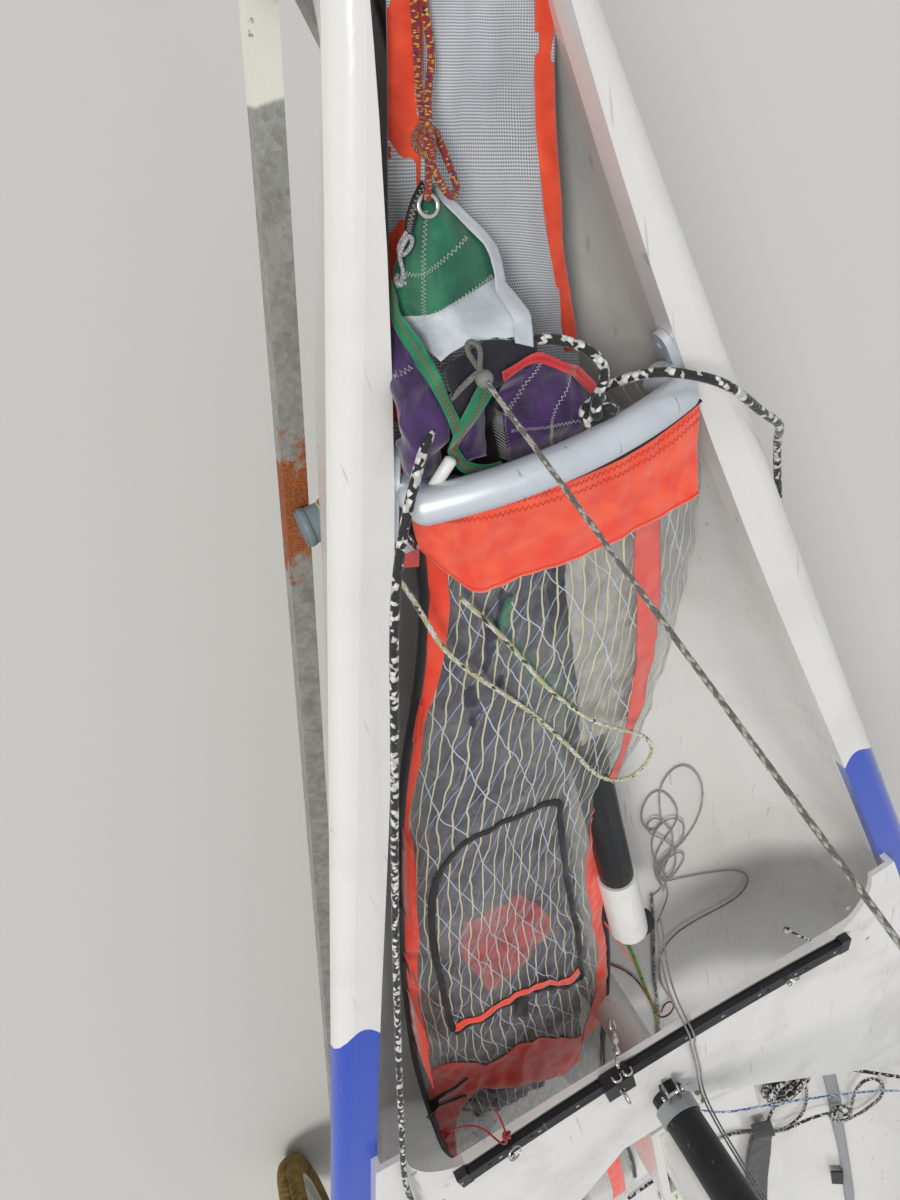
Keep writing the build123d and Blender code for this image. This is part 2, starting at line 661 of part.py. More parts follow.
mesh_side = Plane.XZ * make_face(
    Polyline(
        (stem_x - mesh_front, mesh_z(mesh_front)),
        (stem_x - HOOP_STATION, mesh_z(HOOP_STATION)),
        (stem_x - HOOP_STATION, mesh_z(HOOP_STATION) - MESH_THICKNESS),
        (stem_x - mesh_front, mesh_z(mesh_front) - MESH_THICKNESS),
        close=True,
    )
)
pole_room = tube_between(pole_inner, pole_front, POLE_RADIUS + SEAT_GAP)
launch_mesh = (extrude(mesh_side, HOOP_STATION, both=True) & well_void) - pole_room
save("launch_mesh", launch_mesh)

# Sock sections: distance aft of the stem, centre to port, half-width, top and bottom depth.
SOCK_SECTIONS = [
    (HOOP_STATION + 16, -8, 118, 12, 110),
    (690, -15, 134, 50, 140),
    (945, 33, 172, 80, 165),
    (1180, 96, 163, 104, 184),
    (1400, 137, 173, 124, 200),
    (1580, 152, 178, 138, 214),
    (1700, 176, 142, 140, 212),
    (1860, 124, 112, 142, 206),
]


def sock_section(station, middle, half, top, bottom):
    plane = Plane(origin=(stem_x - station, middle, DECK_Z), x_dir=(0, 1, 0), z_dir=(1, 0, 0))
    with BuildSketch(plane) as sketch:
        with BuildLine():
            ThreePointArc((-half, -(top + bottom) / 2), (0, -top), (half, -(top + bottom) / 2))
            ThreePointArc((-half, -(top + bottom) / 2), (0, -bottom), (half, -(top + bottom) / 2))
        make_face()
    return sketch.sketch


chute_sock = loft([sock_section(*row) for row in SOCK_SECTIONS])
chute_sock = chute_sock & well_void
chute_sock -= pole_room
chute_sock -= tube_between(pole_inner, sleeve_front, POLE_RADIUS + POLE_SLEEVE_WALL + SEAT_GAP)
chute_sock -= tube_between((mast_x, 0, 0), (mast_x, 0, DECK_Z), POST_RADIUS + SEAT_GAP)
save("chute_sock", chute_sock)

# Stowed sail on the mesh: distance aft of the stem, centre to port, half-width, top depth.
BUNDLE_SECTIONS = [
    (292, 34, 20, 34),
    (390, 56, 40, 16),
    (450, 36, 78, 2),
    (HOOP_STATION - 2, 4, 108, -14),
]
BUNDLE_OVER_MESH = 2
bundle = loft(
    [
        sock_section(station, middle, half, top, DECK_Z - mesh_z(station) - BUNDLE_OVER_MESH)
        for station, middle, half, top in BUNDLE_SECTIONS
    ]
)
bundle = (bundle & well_void) - pole_room
save("spinnaker", bundle)

# Cords: straight runs joined by tangent arcs.
def corner_radii(route):
    radii = []
    for before, corner, after in zip(route, route[1:], route[2:]):
        run_in = Vector(*corner) - Vector(*before)
        run_out = Vector(*after) - Vector(*corner)
        half_turn = radians(run_in.get_angle(run_out) / 2)
        radii.append(0.45 * min(run_in.length, run_out.length) / tan(half_turn))
    return radii


def cord(node, route, diameter):
    radii = corner_radii(route)
    path = FilletPolyline(*route, radius=radii)
    section = Plane(origin=path @ 0, z_dir=path % 0) * Circle(diameter / 2)
    tube = sweep(section, path=path)
    share = tube.volume / (pi * diameter**2 / 4 * path.length)
    print(node, "length", round(path.length), "volume share", round(share, 4))
    print("  radii", [round(radius) for radius in radii])
    save(node, tube)


def floor_z(x, y):
    probe = box_at(x, y, DECK_Z - 200, 2, 2, 300) & hull
    return probe.bounding_box().max.Z


# Coil of the sheet's spare length, laid on the cockpit floor and tilted with it.
def coil(node, x, y):
    port_z, starboard_z = floor_z(x, y + COIL_MID_RADIUS), floor_z(x, y - COIL_MID_RADIUS)
    rise = (port_z - starboard_z) / (2 * COIL_MID_RADIUS)
    middle_z = (port_z + starboard_z) / 2
    lift = 0
    for turn in range(0, 360, 45):
        dx, dy = COIL_MID_RADIUS * cos(radians(turn)), COIL_MID_RADIUS * sin(radians(turn))
        lift = max(lift, floor_z(x + dx, y + dy) - middle_z - rise * dy)
    ring = Rot(degrees(atan(rise)), 0, 0) * Torus(COIL_MID_RADIUS, COIL_TUBE_RADIUS)
    centre_z = middle_z + lift + COIL_TUBE_RADIUS + 3 * SEAT_GAP
    print(node, "at", x, y, round(centre_z, 1), "lift", round(lift, 1))
    save(node, Pos(x, y, centre_z) * ring)


# Spinnaker sheet from the clew: one end over the hoop and along the port gunwale to its coil, the other
# over the starboard gunwale, slack along the topside and back in over the side deck.
SHEET_PORT_ROUTE = [
    (1706, -22, 770),
    (1722, -38, 780),
    (1742, -47, 787),
    (1762, -41, 790),
    (1779, -20, 788),
    (1789, 12, 786),
    (1788, 48, 785),
    (1766, 88, 789),
    (1718, 134, 803),
    (1640, 165, 793),
    (1500, 201, 786),
    (1240, 272, 779),
    (960, 348, 785),
    (828, 383, 791),
    (749, 404, 794),
    (663, 414, 795),
    (571, 421, 794),
    (468, 427, 795),
    (366, 431, 794),
    (269, 434, 796),
    (179, 437, 795),
    (104, 435, 797),
    (36, 432, 796),
    (-2, 420, 755),
    (-24, 405, 702),
    (-58, 385, 647),
    (-98, 352, 602),
    (-122, 300, 585),
    (-139, 246, 577),
]
SHEET_STARBOARD_ROUTE = [
    (1712, -50, 752),
    (1722, -68, 768),
    (1726, -88, 784),
    (1720, -110, 798),
    (1706, -134, 806),
    (1682, -158, 801),
    (1650, -186, 788),
    (1615, -223, 770),
    (1571, -252, 729),
    (1509, -272, 706),
    (1410, -300, 679),
    (1320, -326, 657),
    (1214, -357, 634),
    (1116, -386, 617),
    (1007, -419, 603),
    (908, -449, 595),
    (798, -482, 590),
    (695, -513, 589),
    (599, -542, 594),
    (493, -574, 603),
    (389, -605, 616),
    (285, -637, 634),
    (187, -666, 655),
    (94, -695, 678),
    (-7, -725, 707),
    (-91, -756, 736),
    (-159, -778, 766),
    (-202, -760, 788),
    (-239, -717, 790),
    (-284, -664, 780),
    (-322, -614, 722),
    (-366, -556, 648),
    (-384, -512, 612),
    (-402, -462, 586),
    (-414, -413, 573),
]
RETRIEVAL_ROUTE = [
    (1652, 157, 753),
    (1614, 145, 751),
    (1573, 137, 742),
    (1510, 125, 729),
    (1454, 100, 719),
    (1402, 72, 711),
    (1352, 46, 705),
    (1296, 22, 700),
    (1244, 2, 696),
    (1208, -10, 693),
    (1180, -24, 691),
    (1158, -42, 690),
    (1148, -68, 690),
    (1162, -94, 690),
    (1190, -100, 692),
    (1222, -84, 694),
    (1252, -56, 698),
    (1289, -24, 702),
    (1345, 8, 708),
    (1405, 35, 714),
    (1459, 53, 720),
    (1517, 76, 729),
    (1566, 98, 738),
]
cord("cord_sheet_port", SHEET_PORT_ROUTE, SHEET_DIAMETER)
cord("cord_sheet_starboard", SHEET_STARBOARD_ROUTE, SHEET_DIAMETER)
cord("cord_retrieval", RETRIEVAL_ROUTE, RETRIEVAL_DIAMETER)
coil("sheet_coil_port", -190, 266)
coil("sheet_coil_starboard", -466, -430)

# Trolley: two legs from the drawbar head to the axle, crossbar under the bow, cradle and wheels.


def keel_z_at(station):
    slice_box = box_at(stem_x - station, 0, DECK_Z / 2, 2, 4, DECK_Z)
    return (slice_box & hull_form).bounding_box().min.Z


SEAT_BITE = 2
crossbar_z = keel_z_at(CROSSBAR_STATION) + SEAT_BITE - SLEEVE_RADIUS
leg_top_at_crossbar = crossbar_z - SLEEVE_RADIUS + SEAT_BITE
WHEEL_AXLE_Z = WHEEL_RADIUS
beam_top_z = WHEEL_AXLE_Z + LEG_TUBE / 2
leg_aft_z = beam_top_z + LEG_TUBE / 2 - 4
leg_slope = (leg_top_at_crossbar - LEG_TUBE / 2 - leg_aft_z) / (AXLE_STATION - CROSSBAR_STATION)


def leg_point(station, side):
    half = LEG_SPREAD * (station - LEG_MEET_STATION)
    return (stem_x - station, side * half, leg_aft_z + leg_slope * (AXLE_STATION - station))


axle_beam_half = WHEEL_TRACK_HALF - TYRE_WIDTH / 2 - 18
axle_beam = box_at(axle_x, 0, WHEEL_AXLE_Z, LEG_TUBE, 2 * axle_beam_half, LEG_TUBE)
stub_half = WHEEL_TRACK_HALF + TYRE_WIDTH / 2 + 8
axle = Pos(axle_x, 0, WHEEL_AXLE_Z) * (Rot(90, 0, 0) * Cylinder(AXLE_RADIUS, 2 * stub_half))
axle_beam += axle
save("axle_beam", axle_beam)

head_z = leg_point(LEG_HEAD_STATION, 0)[2]
handle_x = stem_x + HANDLE_REACH
drawbar = bar_between(
    (stem_x - DRAWBAR_AFT_STATION, 0, head_z), (handle_x, 0, HANDLE_Z), DRAWBAR_TUBE, DRAWBAR_TUBE
)
legs = {}
for side, name in ((1, "port"), (-1, "starboard")):
    leg_aft = leg_point(AXLE_STATION + 24, side)
    leg = bar_between(leg_point(LEG_HEAD_STATION, side), leg_aft, LEG_TUBE, LEG_TUBE)
    leg = leg & box_at(0, side * axle_beam_half / 2, LONG / 2, 2 * LONG, axle_beam_half, LONG)
    leg -= axle_beam
    leg -= drawbar
    legs[name] = leg.solids().sort_by(SortBy.VOLUME)[-1]
    save(f"trolley_leg_{name}", legs[name])

drawbar += Pos(handle_x, 0, HANDLE_Z) * (Rot(90, 0, 0) * Cylinder(HANDLE_RADIUS, HANDLE_WIDTH))
for side in (1, -1):
    grip_y = side * (HANDLE_WIDTH - GRIP_LENGTH) / 2
    grip = Rot(90, 0, 0) * Cylinder(HANDLE_RADIUS + GRIP_WALL, GRIP_LENGTH)
    drawbar += Pos(handle_x, grip_y, HANDLE_Z) * grip
save("drawbar", drawbar)

foot_x = stem_x - FOOT_STATION
foot_post = Pos(foot_x, 0, FOOT_PAD_THICKNESS) * extrude(Circle(FOOT_POST_RADIUS), HANDLE_Z)
foot_post = foot_post - drawbar
foot_post = foot_post.solids().sort_by(Axis.Z)[0]
foot_pad = Pos(foot_x, 0, 0) * extrude(Circle(FOOT_PAD_RADIUS), FOOT_PAD_THICKNESS)
save("front_foot", foot_post + foot_pad)

crossbar_half = leg_point(CROSSBAR_STATION, 1)[1] + 3
crossbar_x = stem_x - CROSSBAR_STATION
crossbar = Pos(crossbar_x, 0, crossbar_z) * (Rot(90, 0, 0) * Cylinder(SLEEVE_RADIUS, 2 * crossbar_half))
crossbar = crossbar - hull - legs["port"] - legs["starboard"]
save("bow_crossbar", crossbar)

# Chocks that the hull sits in: one at the head, and a pair on a cradle bar over the axle.
CHOCK_STATION = 125
CHOCK_HEIGHT = 150
bow_chock = box_at(stem_x - CHOCK_STATION, 0, head_z + CHOCK_HEIGHT / 2, 90, 70, CHOCK_HEIGHT)
bow_chock = bow_chock - hull - drawbar - legs["port"] - legs["starboard"]
bow_chock = bow_chock.solids().sort_by(SortBy.VOLUME)[-1]
save("bow_chock", bow_chock)
CRADLE_STATION = AXLE_STATION - 90
CRADLE_TUBE = 40
cradle_x = stem_x - CRADLE_STATION
cradle_leg = leg_point(CRADLE_STATION, 1)
cradle_z = cradle_leg[2] + LEG_TUBE / 2 + CRADLE_TUBE / 2 - SEAT_BITE
cradle_top_z = cradle_z + CRADLE_TUBE / 2
cradle_bar = box_at(cradle_x, 0, cradle_z, CRADLE_TUBE, 2 * cradle_leg[1] + 50, CRADLE_TUBE)
for leg in legs.values():
    cradle_bar -= leg
cradle_bar = Compound(children=list(cradle_bar.solids()))
save("cradle_bar", cradle_bar)
chocks = []
for side in (1, -1):
    chock = box_at(cradle_x, side * 260, cradle_top_z + 70, 90, 120, 140)
    chocks.append((chock - hull).solids().sort_by(Axis.Z)[0])
save("cradle_chocks", Compound(children=chocks))

# Wheels: tyre, and a dished rim with its hub.
RIM_WALL = 16
RIM_DISH = 14
HUB_RADIUS = 36
for side, name in ((1, "port"), (-1, "starboard")):
    centre_y = side * WHEEL_TRACK_HALF
    half = TYRE_WIDTH / 2
    rim_radius = WHEEL_RADIUS - 58
    with BuildSketch(Plane.XY) as tyre_half:
        with BuildLine():
            Line((-half + 14, rim_radius), (half - 14, rim_radius))
            for end in (1, -1):
                Line((end * (half - 14), rim_radius), (end * half, rim_radius + 22))
                ThreePointArc(
                    (end * half, rim_radius + 22),
                    (end * (half - 6), WHEEL_RADIUS - 12),
                    (end * (half - 20), WHEEL_RADIUS),
                )
            Line((half - 20, WHEEL_RADIUS), (20 - half, WHEEL_RADIUS))
        make_face()
    tyre = revolve(tyre_half.sketch, axis=Axis.X)
    rim_half = half - 14
    rim = Rot(0, 90, 0) * Cylinder(rim_radius, 2 * rim_half)
    for end in (1, -1):
        dish = Cylinder(rim_radius - RIM_WALL, 2 * RIM_DISH) - Cylinder(HUB_RADIUS, 2 * RIM_DISH)
        rim -= Pos(end * rim_half, 0, 0) * (Rot(0, 90, 0) * dish)
    rim -= Rot(0, 90, 0) * Cylinder(AXLE_RADIUS + 0.08, 2 * TYRE_WIDTH)
    turn = Pos(axle_x, centre_y, WHEEL_AXLE_Z) * Rot(0, 0, 90)
    save(f"tyre_{name}", turn * tyre)
    save(f"rim_{name}", turn * rim)

print("stem_x", stem_x, "mast_x", mast_x, "axle_x", axle_x, "pin_x", pin_x, "rudder_x", rudder_x)
print("pivot_x", pivot_x, "tiller_front_x", tiller_front_x, "post_foot_z", post_foot_z)
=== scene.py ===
from math import cos, pi, radians, sin
import bpy
from mathutils import Matrix, Vector, noise
from mathutils.bvhtree import BVHTree


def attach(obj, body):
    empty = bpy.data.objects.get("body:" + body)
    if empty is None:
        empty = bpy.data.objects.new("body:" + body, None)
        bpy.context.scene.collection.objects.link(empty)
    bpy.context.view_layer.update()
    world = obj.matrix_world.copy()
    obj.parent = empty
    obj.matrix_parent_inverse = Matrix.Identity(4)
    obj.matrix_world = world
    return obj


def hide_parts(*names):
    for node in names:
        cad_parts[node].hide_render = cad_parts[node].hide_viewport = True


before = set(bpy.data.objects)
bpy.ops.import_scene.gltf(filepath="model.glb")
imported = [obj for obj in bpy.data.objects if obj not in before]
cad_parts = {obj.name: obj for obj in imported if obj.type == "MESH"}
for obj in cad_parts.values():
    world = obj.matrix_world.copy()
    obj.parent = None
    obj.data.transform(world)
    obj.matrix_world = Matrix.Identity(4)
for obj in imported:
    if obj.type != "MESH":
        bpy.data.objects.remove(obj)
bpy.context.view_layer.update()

# The camera stands beside the port bow and looks down and aft over the foredeck well.
# It is a phone camera at about 1.3 m over the floor, held a little tilted.
def stand(name, data):
    """A new object with this data, in the scene."""
    piece = bpy.data.objects.new(name, data)
    bpy.context.scene.collection.objects.link(piece)
    return piece


camera_place = Vector((2.0575, 0.264, 1.340))
camera_right = Vector((-0.2182, -0.887, 0.407))
camera_down = Vector((-0.7556, 0.417, 0.505))
look = camera_right.cross(camera_down).normalized()
down = look.cross(camera_right).normalized()
right = down.cross(look).normalized()
turn = Matrix((right, -down, -look)).transposed().to_4x4()
camera_data = bpy.data.cameras.new("photo_camera")
camera_data.sensor_fit = "HORIZONTAL"
camera_data.sensor_width = 36.0
camera_data.lens = 36.0
camera_data.clip_start = 0.02
camera_data.clip_end = 200.0
camera = stand("photo_camera", camera_data)
camera.matrix_world = Matrix.Translation(camera_place) @ turn
bpy.context.scene.camera = camera


# The floor is a wide pale sheet, and the light is a broad soft sky with one large soft lamp.
# The lamp stands high on the port side and a little ahead, so shadows fall soft to starboard and aft.
def tone(red, green, blue):
    """Screen colour, 0 to 255, as the linear colour that a material takes."""
    parts = [part / 255 for part in (red, green, blue)]
    return tuple(p / 12.92 if p <= 0.04045 else ((p + 0.055) / 1.055) ** 2.4 for p in parts) + (1.0,)


floor_mesh = bpy.data.meshes.new("floor")
HALF_FLOOR = 30
floor_corners = [(x * HALF_FLOOR, y * HALF_FLOOR, 0) for x, y in ((-1, -1), (1, -1), (1, 1), (-1, 1))]
floor_mesh.from_pydata(floor_corners, [], [(0, 1, 2, 3)])
floor = stand("floor", floor_mesh)
floor_paint = bpy.data.materials.new("floor_paint")
floor_paint.use_nodes = True
floor_shader = floor_paint.node_tree.nodes["Principled BSDF"].inputs
floor_shader["Base Color"].default_value = tone(206, 205, 202)
floor_shader["Roughness"].default_value = 0.85
floor_mesh.materials.append(floor_paint)
world = bpy.data.worlds.new("sky")
bpy.context.scene.world = world
world.use_nodes = True
sky = world.node_tree.nodes["Background"].inputs
sky["Color"].default_value = tone(250, 252, 255)
sky["Strength"].default_value = 0.62
lamp_data = bpy.data.lights.new("sun", "SUN")
lamp_data.energy = 1.6
lamp_data.angle = 0.35
lamp_data.color = (1.0, 0.97, 0.92)
lamp = stand("sun", lamp_data)
lamp.rotation_euler = (-0.55, 0.42, 0.0)
bpy.context.scene.view_settings.view_transform = "Standard"


# The spinnaker sheet is an 8 mm black braid with white flecks, in two lengths from the clew.
# The port length lies along the gunwale and the starboard one hangs outside; each ends in a coil.
def put(tree, kind, settings=(), **inputs):
    """Adds a shader node; an input takes a plain value or the socket that feeds it."""
    node = tree.nodes.new(kind)
    for name, value in dict(settings).items():
        setattr(node, name, value)
    for name, value in inputs.items():
        key = int(name[1:]) if name[0] == "n" and name[1:].isdigit() else name.replace("_", " ")
        if isinstance(value, bpy.types.NodeSocket):
            tree.links.new(value, node.inputs[key])
        else:
            node.inputs[key].default_value = value
    return node


def sums(tree, operation, first, second=0.0):
    return put(tree, "ShaderNodeMath", {"operation": operation}, n0=first, n1=second).outputs[0]


def times(tree, first, second):
    return sums(tree, "MULTIPLY", first, second)


def plus(tree, first, second):
    return sums(tree, "ADD", first, second)


def minus(tree, first, second):
    return sums(tree, "SUBTRACT", first, second)


def ripple(tree, value, rate):
    """Rounded ridges from 0 to 1 along a value: the size of its sine."""
    return sums(tree, "ABSOLUTE", sums(tree, "SINE", times(tree, value, rate)))


def xyz(tree, place):
    return put(tree, "ShaderNodeSeparateXYZ", Vector=place).outputs


def mottle(tree, place, scale, detail, **more):
    """Soft random patches around 0.5, smaller with a larger scale."""
    return put(tree, "ShaderNodeTexNoise", Vector=place, Scale=scale, Detail=detail, **more).outputs["Fac"]


def blend_tone(tree, share, low, high, how="MIX"):
    """Mixes two colours by a share from 0 to 1."""
    node = tree.nodes.new("ShaderNodeMix")
    node.data_type = "RGBA"
    node.blend_type = how
    for index, value in ((0, share), (6, low), (7, high)):
        if isinstance(value, bpy.types.NodeSocket):
            tree.links.new(value, node.inputs[index])
        else:
            node.inputs[index].default_value = value
    return node.outputs[2]


def spread(tree, value, low, high, to_low=0.0, to_high=1.0):
    """Stretches a value from one range to another and clamps it."""
    ends = {"From_Min": low, "From_Max": high, "To_Min": to_low, "To_Max": to_high}
    return put(tree, "ShaderNodeMapRange", Value=value, **ends).outputs[0]


def finish(name, **constants):
    """A new material with a Principled shader; constants go on the shader's own sockets."""
    material = bpy.data.materials.new(name)
    material.use_nodes = True
    shader = material.node_tree.nodes["Principled BSDF"]
    for key, value in constants.items():
        shader.inputs[key.replace("_", " ")].default_value = value
    return material, material.node_tree, shader


def feed(tree, shader, **sockets):
    """Links each socket to the shader's input of that name."""
    for key, socket in sockets.items():
        tree.links.new(socket, shader.inputs[key.replace("_", " ")])


def bump(tree, shader, height, strength, distance):
    """Raises the surface by a height."""
    node = put(tree, "ShaderNodeBump", Height=height, Strength=strength, Distance=distance)
    tree.links.new(node.outputs[0], shader.inputs["Normal"])


def effect(name, inputs, outputs):
    """An empty node group with named inputs and outputs."""
    group = bpy.data.node_groups.new(name, "ShaderNodeTree")
    for label, kind, default in inputs:
        socket = group.interface.new_socket(label, in_out="INPUT", socket_type=kind)
        socket.default_value = default
    for label, kind in outputs:
        group.interface.new_socket(label, in_out="OUTPUT", socket_type=kind)
    return group, group.nodes.new("NodeGroupInput").outputs, group.nodes.new("NodeGroupOutput").inputs


def use(tree, group, **inputs):
    """Puts a node group into a material."""
    return put(tree, "ShaderNodeGroup", {"node_tree": group}, **inputs).outputs


NUMBER, PLACE = "NodeSocketFloat", "NodeSocketVector"
braid, given, out = effect(
    "braid",
    [("Map", PLACE, (0, 0, 0)), ("Pitches", NUMBER, 100.0), ("Strands", NUMBER, 8.0)],
    [("Fleck", NUMBER), ("Height", NUMBER)],
)
axes = xyz(braid, given["Map"])
along = times(braid, axes[0], given["Pitches"])
round_it = times(braid, axes[1], given["Strands"])
left_lay = plus(braid, along, round_it)
right_lay = minus(braid, along, round_it)
cell_x, cell_y = [sums(braid, "FLOOR", lay) for lay in (left_lay, right_lay)]
cells = put(braid, "ShaderNodeCombineXYZ", X=cell_x, Y=cell_y).outputs[0]
chance = put(braid, "ShaderNodeTexWhiteNoise", {"noise_dimensions": "2D"}, Vector=cells).outputs["Value"]
braid.links.new(chance, out["Fleck"])
bulge = times(braid, ripple(braid, left_lay, pi), ripple(braid, right_lay, pi))
braid.links.new(bulge, out["Height"])


def rope_finish(name, main, fleck, share, length, diameter, third=None, spotted=False):
    """Braided cover: main strands with flecks on a share of the cells, and painted shade in the grooves
    between the strands.
    """
    material, tree, shader = finish(name, Roughness=0.72, Sheen_Weight=0.25, Sheen_Roughness=0.5)
    if spotted:
        place = put(tree, "ShaderNodeTexCoord").outputs["Object"]
        cells = put(tree, "ShaderNodeTexVoronoi", Vector=place, Scale=0.62 / diameter * 2.6)
        chance = put(tree, "ShaderNodeSeparateColor", Color=cells.outputs["Color"]).outputs[0]
        height = spread(tree, cells.outputs["Distance"], 0.6, 0.1)
    else:
        place = put(tree, "ShaderNodeTexCoord").outputs["UV"]
        weave = use(tree, braid, Map=place, Pitches=length / (1.6 * diameter), Strands=4.0)
        chance, height = weave["Fleck"], weave["Height"]
    paint = blend_tone(tree, spread(tree, chance, 1 - share - 0.01, 1 - share), main, fleck)
    if third:
        paint = blend_tone(tree, spread(tree, chance, 0.10, 0.11), third, paint)
    # Painted shade: where the braid is low, between its strands, the colour is mixed toward black.
    groove_painted_shade = spread(tree, height, 0.0, 0.5, 0.45, 1.0)
    paint = blend_tone(tree, groove_painted_shade, blend_tone(tree, 0.7, paint, (0.01, 0.01, 0.01, 1)), paint)
    feed(tree, shader, Base_Color=paint)
    bump(tree, shader, height, 0.8, 0.0009)
    return material


def line(name, route, diameter, material, closed=False):
    """A round line on one smooth spline; the route is in metres."""
    curve = bpy.data.curves.new(name, "CURVE")
    curve.dimensions = "3D"
    curve.bevel_depth = diameter / 2
    curve.bevel_resolution = 3
    curve.resolution_u = 8
    curve.use_fill_caps = True
    spline = curve.splines.new("NURBS")
    spline.points.add(len(route) - 1)
    for point, place in zip(spline.points, route):
        point.co = (*place, 1.0)
    spline.order_u = 3
    spline.use_endpoint_u = not closed
    spline.use_cyclic_u = closed
    curve.materials.append(material)
    return stand(name, curve)


def millimetres(route):
    """A route in metres from one in millimetres."""
    return [(x / 1000, y / 1000, z / 1000) for x, y, z in route]


SHEET_DIAMETER = 0.008
SHEET_PORT_ROUTE = [
    (1706, -22, 770), (1722, -38, 780), (1742, -46, 786), (1760, -40, 785), (1777, -20, 776),
    (1787, 12, 772), (1784, 48, 771), (1762, 90, 776), (1716, 133, 797), (1640, 165, 793), (1500, 201, 786),
    (1240, 272, 779), (960, 348, 785), (828, 383, 791), (749, 404, 794), (663, 414, 795), (571, 421, 794),
    (468, 427, 795), (366, 431, 794), (269, 434, 796), (179, 437, 795), (104, 435, 797), (36, 432, 796),
    (-2, 420, 755), (-24, 405, 702), (-58, 385, 647), (-98, 352, 602), (-122, 300, 585), (-139, 246, 577),
]
SHEET_STARBOARD_ROUTE = [
    (1712, -50, 752), (1722, -68, 768), (1726, -88, 784), (1720, -110, 798), (1706, -134, 806),
    (1682, -158, 801), (1650, -186, 788), (1615, -223, 770), (1571, -252, 729), (1509, -272, 706),
    (1410, -300, 679), (1320, -326, 657), (1214, -357, 634), (1116, -386, 617), (1007, -419, 603),
    (908, -449, 595), (798, -482, 590), (695, -513, 589), (599, -542, 594), (493, -574, 603),
    (389, -605, 616), (285, -637, 634), (187, -666, 655), (94, -695, 678), (-7, -725, 707),
    (-91, -756, 736), (-159, -778, 766), (-202, -760, 788), (-239, -717, 790), (-284, -664, 780),
    (-322, -614, 722), (-366, -556, 648), (-384, -512, 612), (-402, -462, 586), (-414, -413, 573),
]


COIL_RADIUS, COIL_SPREAD, LAYER_RISE = 0.0550, 1.035, 0.011


def coil_turns(centre, start_angle, sense, turns, tilt=0.0):
    """Turns of a loose coil: each a little off the last in size, place and height."""
    points = []
    for step in range(1, 12 * turns + 1):
        angle = start_angle + sense * radians(30 * step)
        lap = step / 12
        layer = int(lap) % 3
        reach = COIL_RADIUS + 0.0105 * sin(2.4 * int(lap) + 0.6) + 0.0015 * sin(3.1 * lap)
        height = -0.012 + LAYER_RISE * layer + 0.002 * sin(5.0 * lap)
        x = centre[0] + reach * cos(angle) * COIL_SPREAD
        y = centre[1] + reach * sin(angle) * COIL_SPREAD
        points.append((x, y, centre[2] + height + tilt * reach * sin(angle)))
    return points


port_coil = (-0.190, 0.266, 0.5771)
starboard_coil = (-0.466, -0.430, 0.5706)
port_route = millimetres(SHEET_PORT_ROUTE) + coil_turns(port_coil, radians(-21), -1, 12)
starboard_route = millimetres(SHEET_STARBOARD_ROUTE) + coil_turns(starboard_coil, radians(18), 1, 12, 0.033)
rope_black = rope_finish(
    "sheet_braid", tone(28, 29, 32), tone(225, 225, 220), 0.34, 6.6, SHEET_DIAMETER, spotted=True
)
sheet_port = line("sheet_port", port_route, SHEET_DIAMETER, rope_black)
sheet_starboard = line("sheet_starboard", starboard_route, SHEET_DIAMETER, rope_black)
for piece, nodes in (
    (sheet_port, ("cord_sheet_port", "sheet_coil_port")),
    (sheet_starboard, ("cord_sheet_starboard", "sheet_coil_starboard")),
):
    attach(piece, "boat")
    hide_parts(*nodes)

# The retrieval line is a thin yellow and white braid that lies in a long loop on the sock.
# Its end goes into the foredeck beside the hoop's port foot.
RETRIEVAL_DIAMETER = 0.005
RETRIEVAL_ROUTE = [
    (1652, 157, 753), (1614, 145, 751), (1573, 137, 742), (1510, 125, 729), (1454, 100, 719),
    (1402, 72, 711), (1352, 46, 705), (1296, 22, 700), (1244, 2, 696), (1208, -10, 693), (1180, -24, 691),
    (1158, -42, 690), (1148, -68, 690), (1162, -94, 690), (1190, -100, 692), (1222, -84, 694),
    (1252, -56, 698), (1289, -24, 702), (1345, 8, 708), (1405, 35, 714), (1459, 53, 720), (1517, 76, 729),
    (1566, 98, 738),
]
rope_yellow = rope_finish(
    "retrieval_braid", tone(205, 200, 150), tone(232, 232, 226), 0.35, 1.04, RETRIEVAL_DIAMETER, tone(
        60, 62, 40
    )
)
retrieval = line("retrieval_line", millimetres(RETRIEVAL_ROUTE), RETRIEVAL_DIAMETER, rope_yellow)
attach(retrieval, "boat")
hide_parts("cord_retrieval")


# The hull is a moulded shell in white gelcoat: a bottom and a deck moulding joined at the gunwale.
# The gelcoat is polished, a little uneven, smudged where crews step, and its gunwales carry a blue band
# that is masked off and sprayed over the roll of the edge.
grime, given, out = effect(
    "grime",
    [("Place", PLACE, (0, 0, 0)), ("Size", NUMBER, 6.0), ("Amount", NUMBER, 0.5)],
    [("Smudge", NUMBER), ("Scuff", NUMBER), ("Grain", NUMBER)],
)
clouds = mottle(grime, given["Place"], given["Size"], 6.0, Roughness=0.62)
spots = spread(grime, clouds, 0.47, 0.80)
grime.links.new(times(grime, spots, given["Amount"]), out["Smudge"])
thin = put(
    grime, "ShaderNodeMapping", Vector=given["Place"], Scale=(9.0, 150.0, 60.0), Rotation=(0.3, 0.2, 0.5)
)
scuffs = spread(grime, mottle(grime, thin.outputs[0], 1.0, 2.0), 0.69, 0.74)
grime.links.new(times(grime, scuffs, given["Amount"]), out["Scuff"])
grime.links.new(mottle(grime, given["Place"], 420.0, 2.0), out["Grain"])


def smudged(tree, size, amount):
    """The place on a piece, in metres, and the grime there."""
    place = put(tree, "ShaderNodeTexCoord").outputs["Object"]
    return place, use(tree, grime, Place=place, Size=size, Amount=amount)


STERN_END, BOW_END = -2.215, 2.185
BAND_FORE, BAND_FOOT, BAND_WIDTH = 1.035, 0.704, 0.066


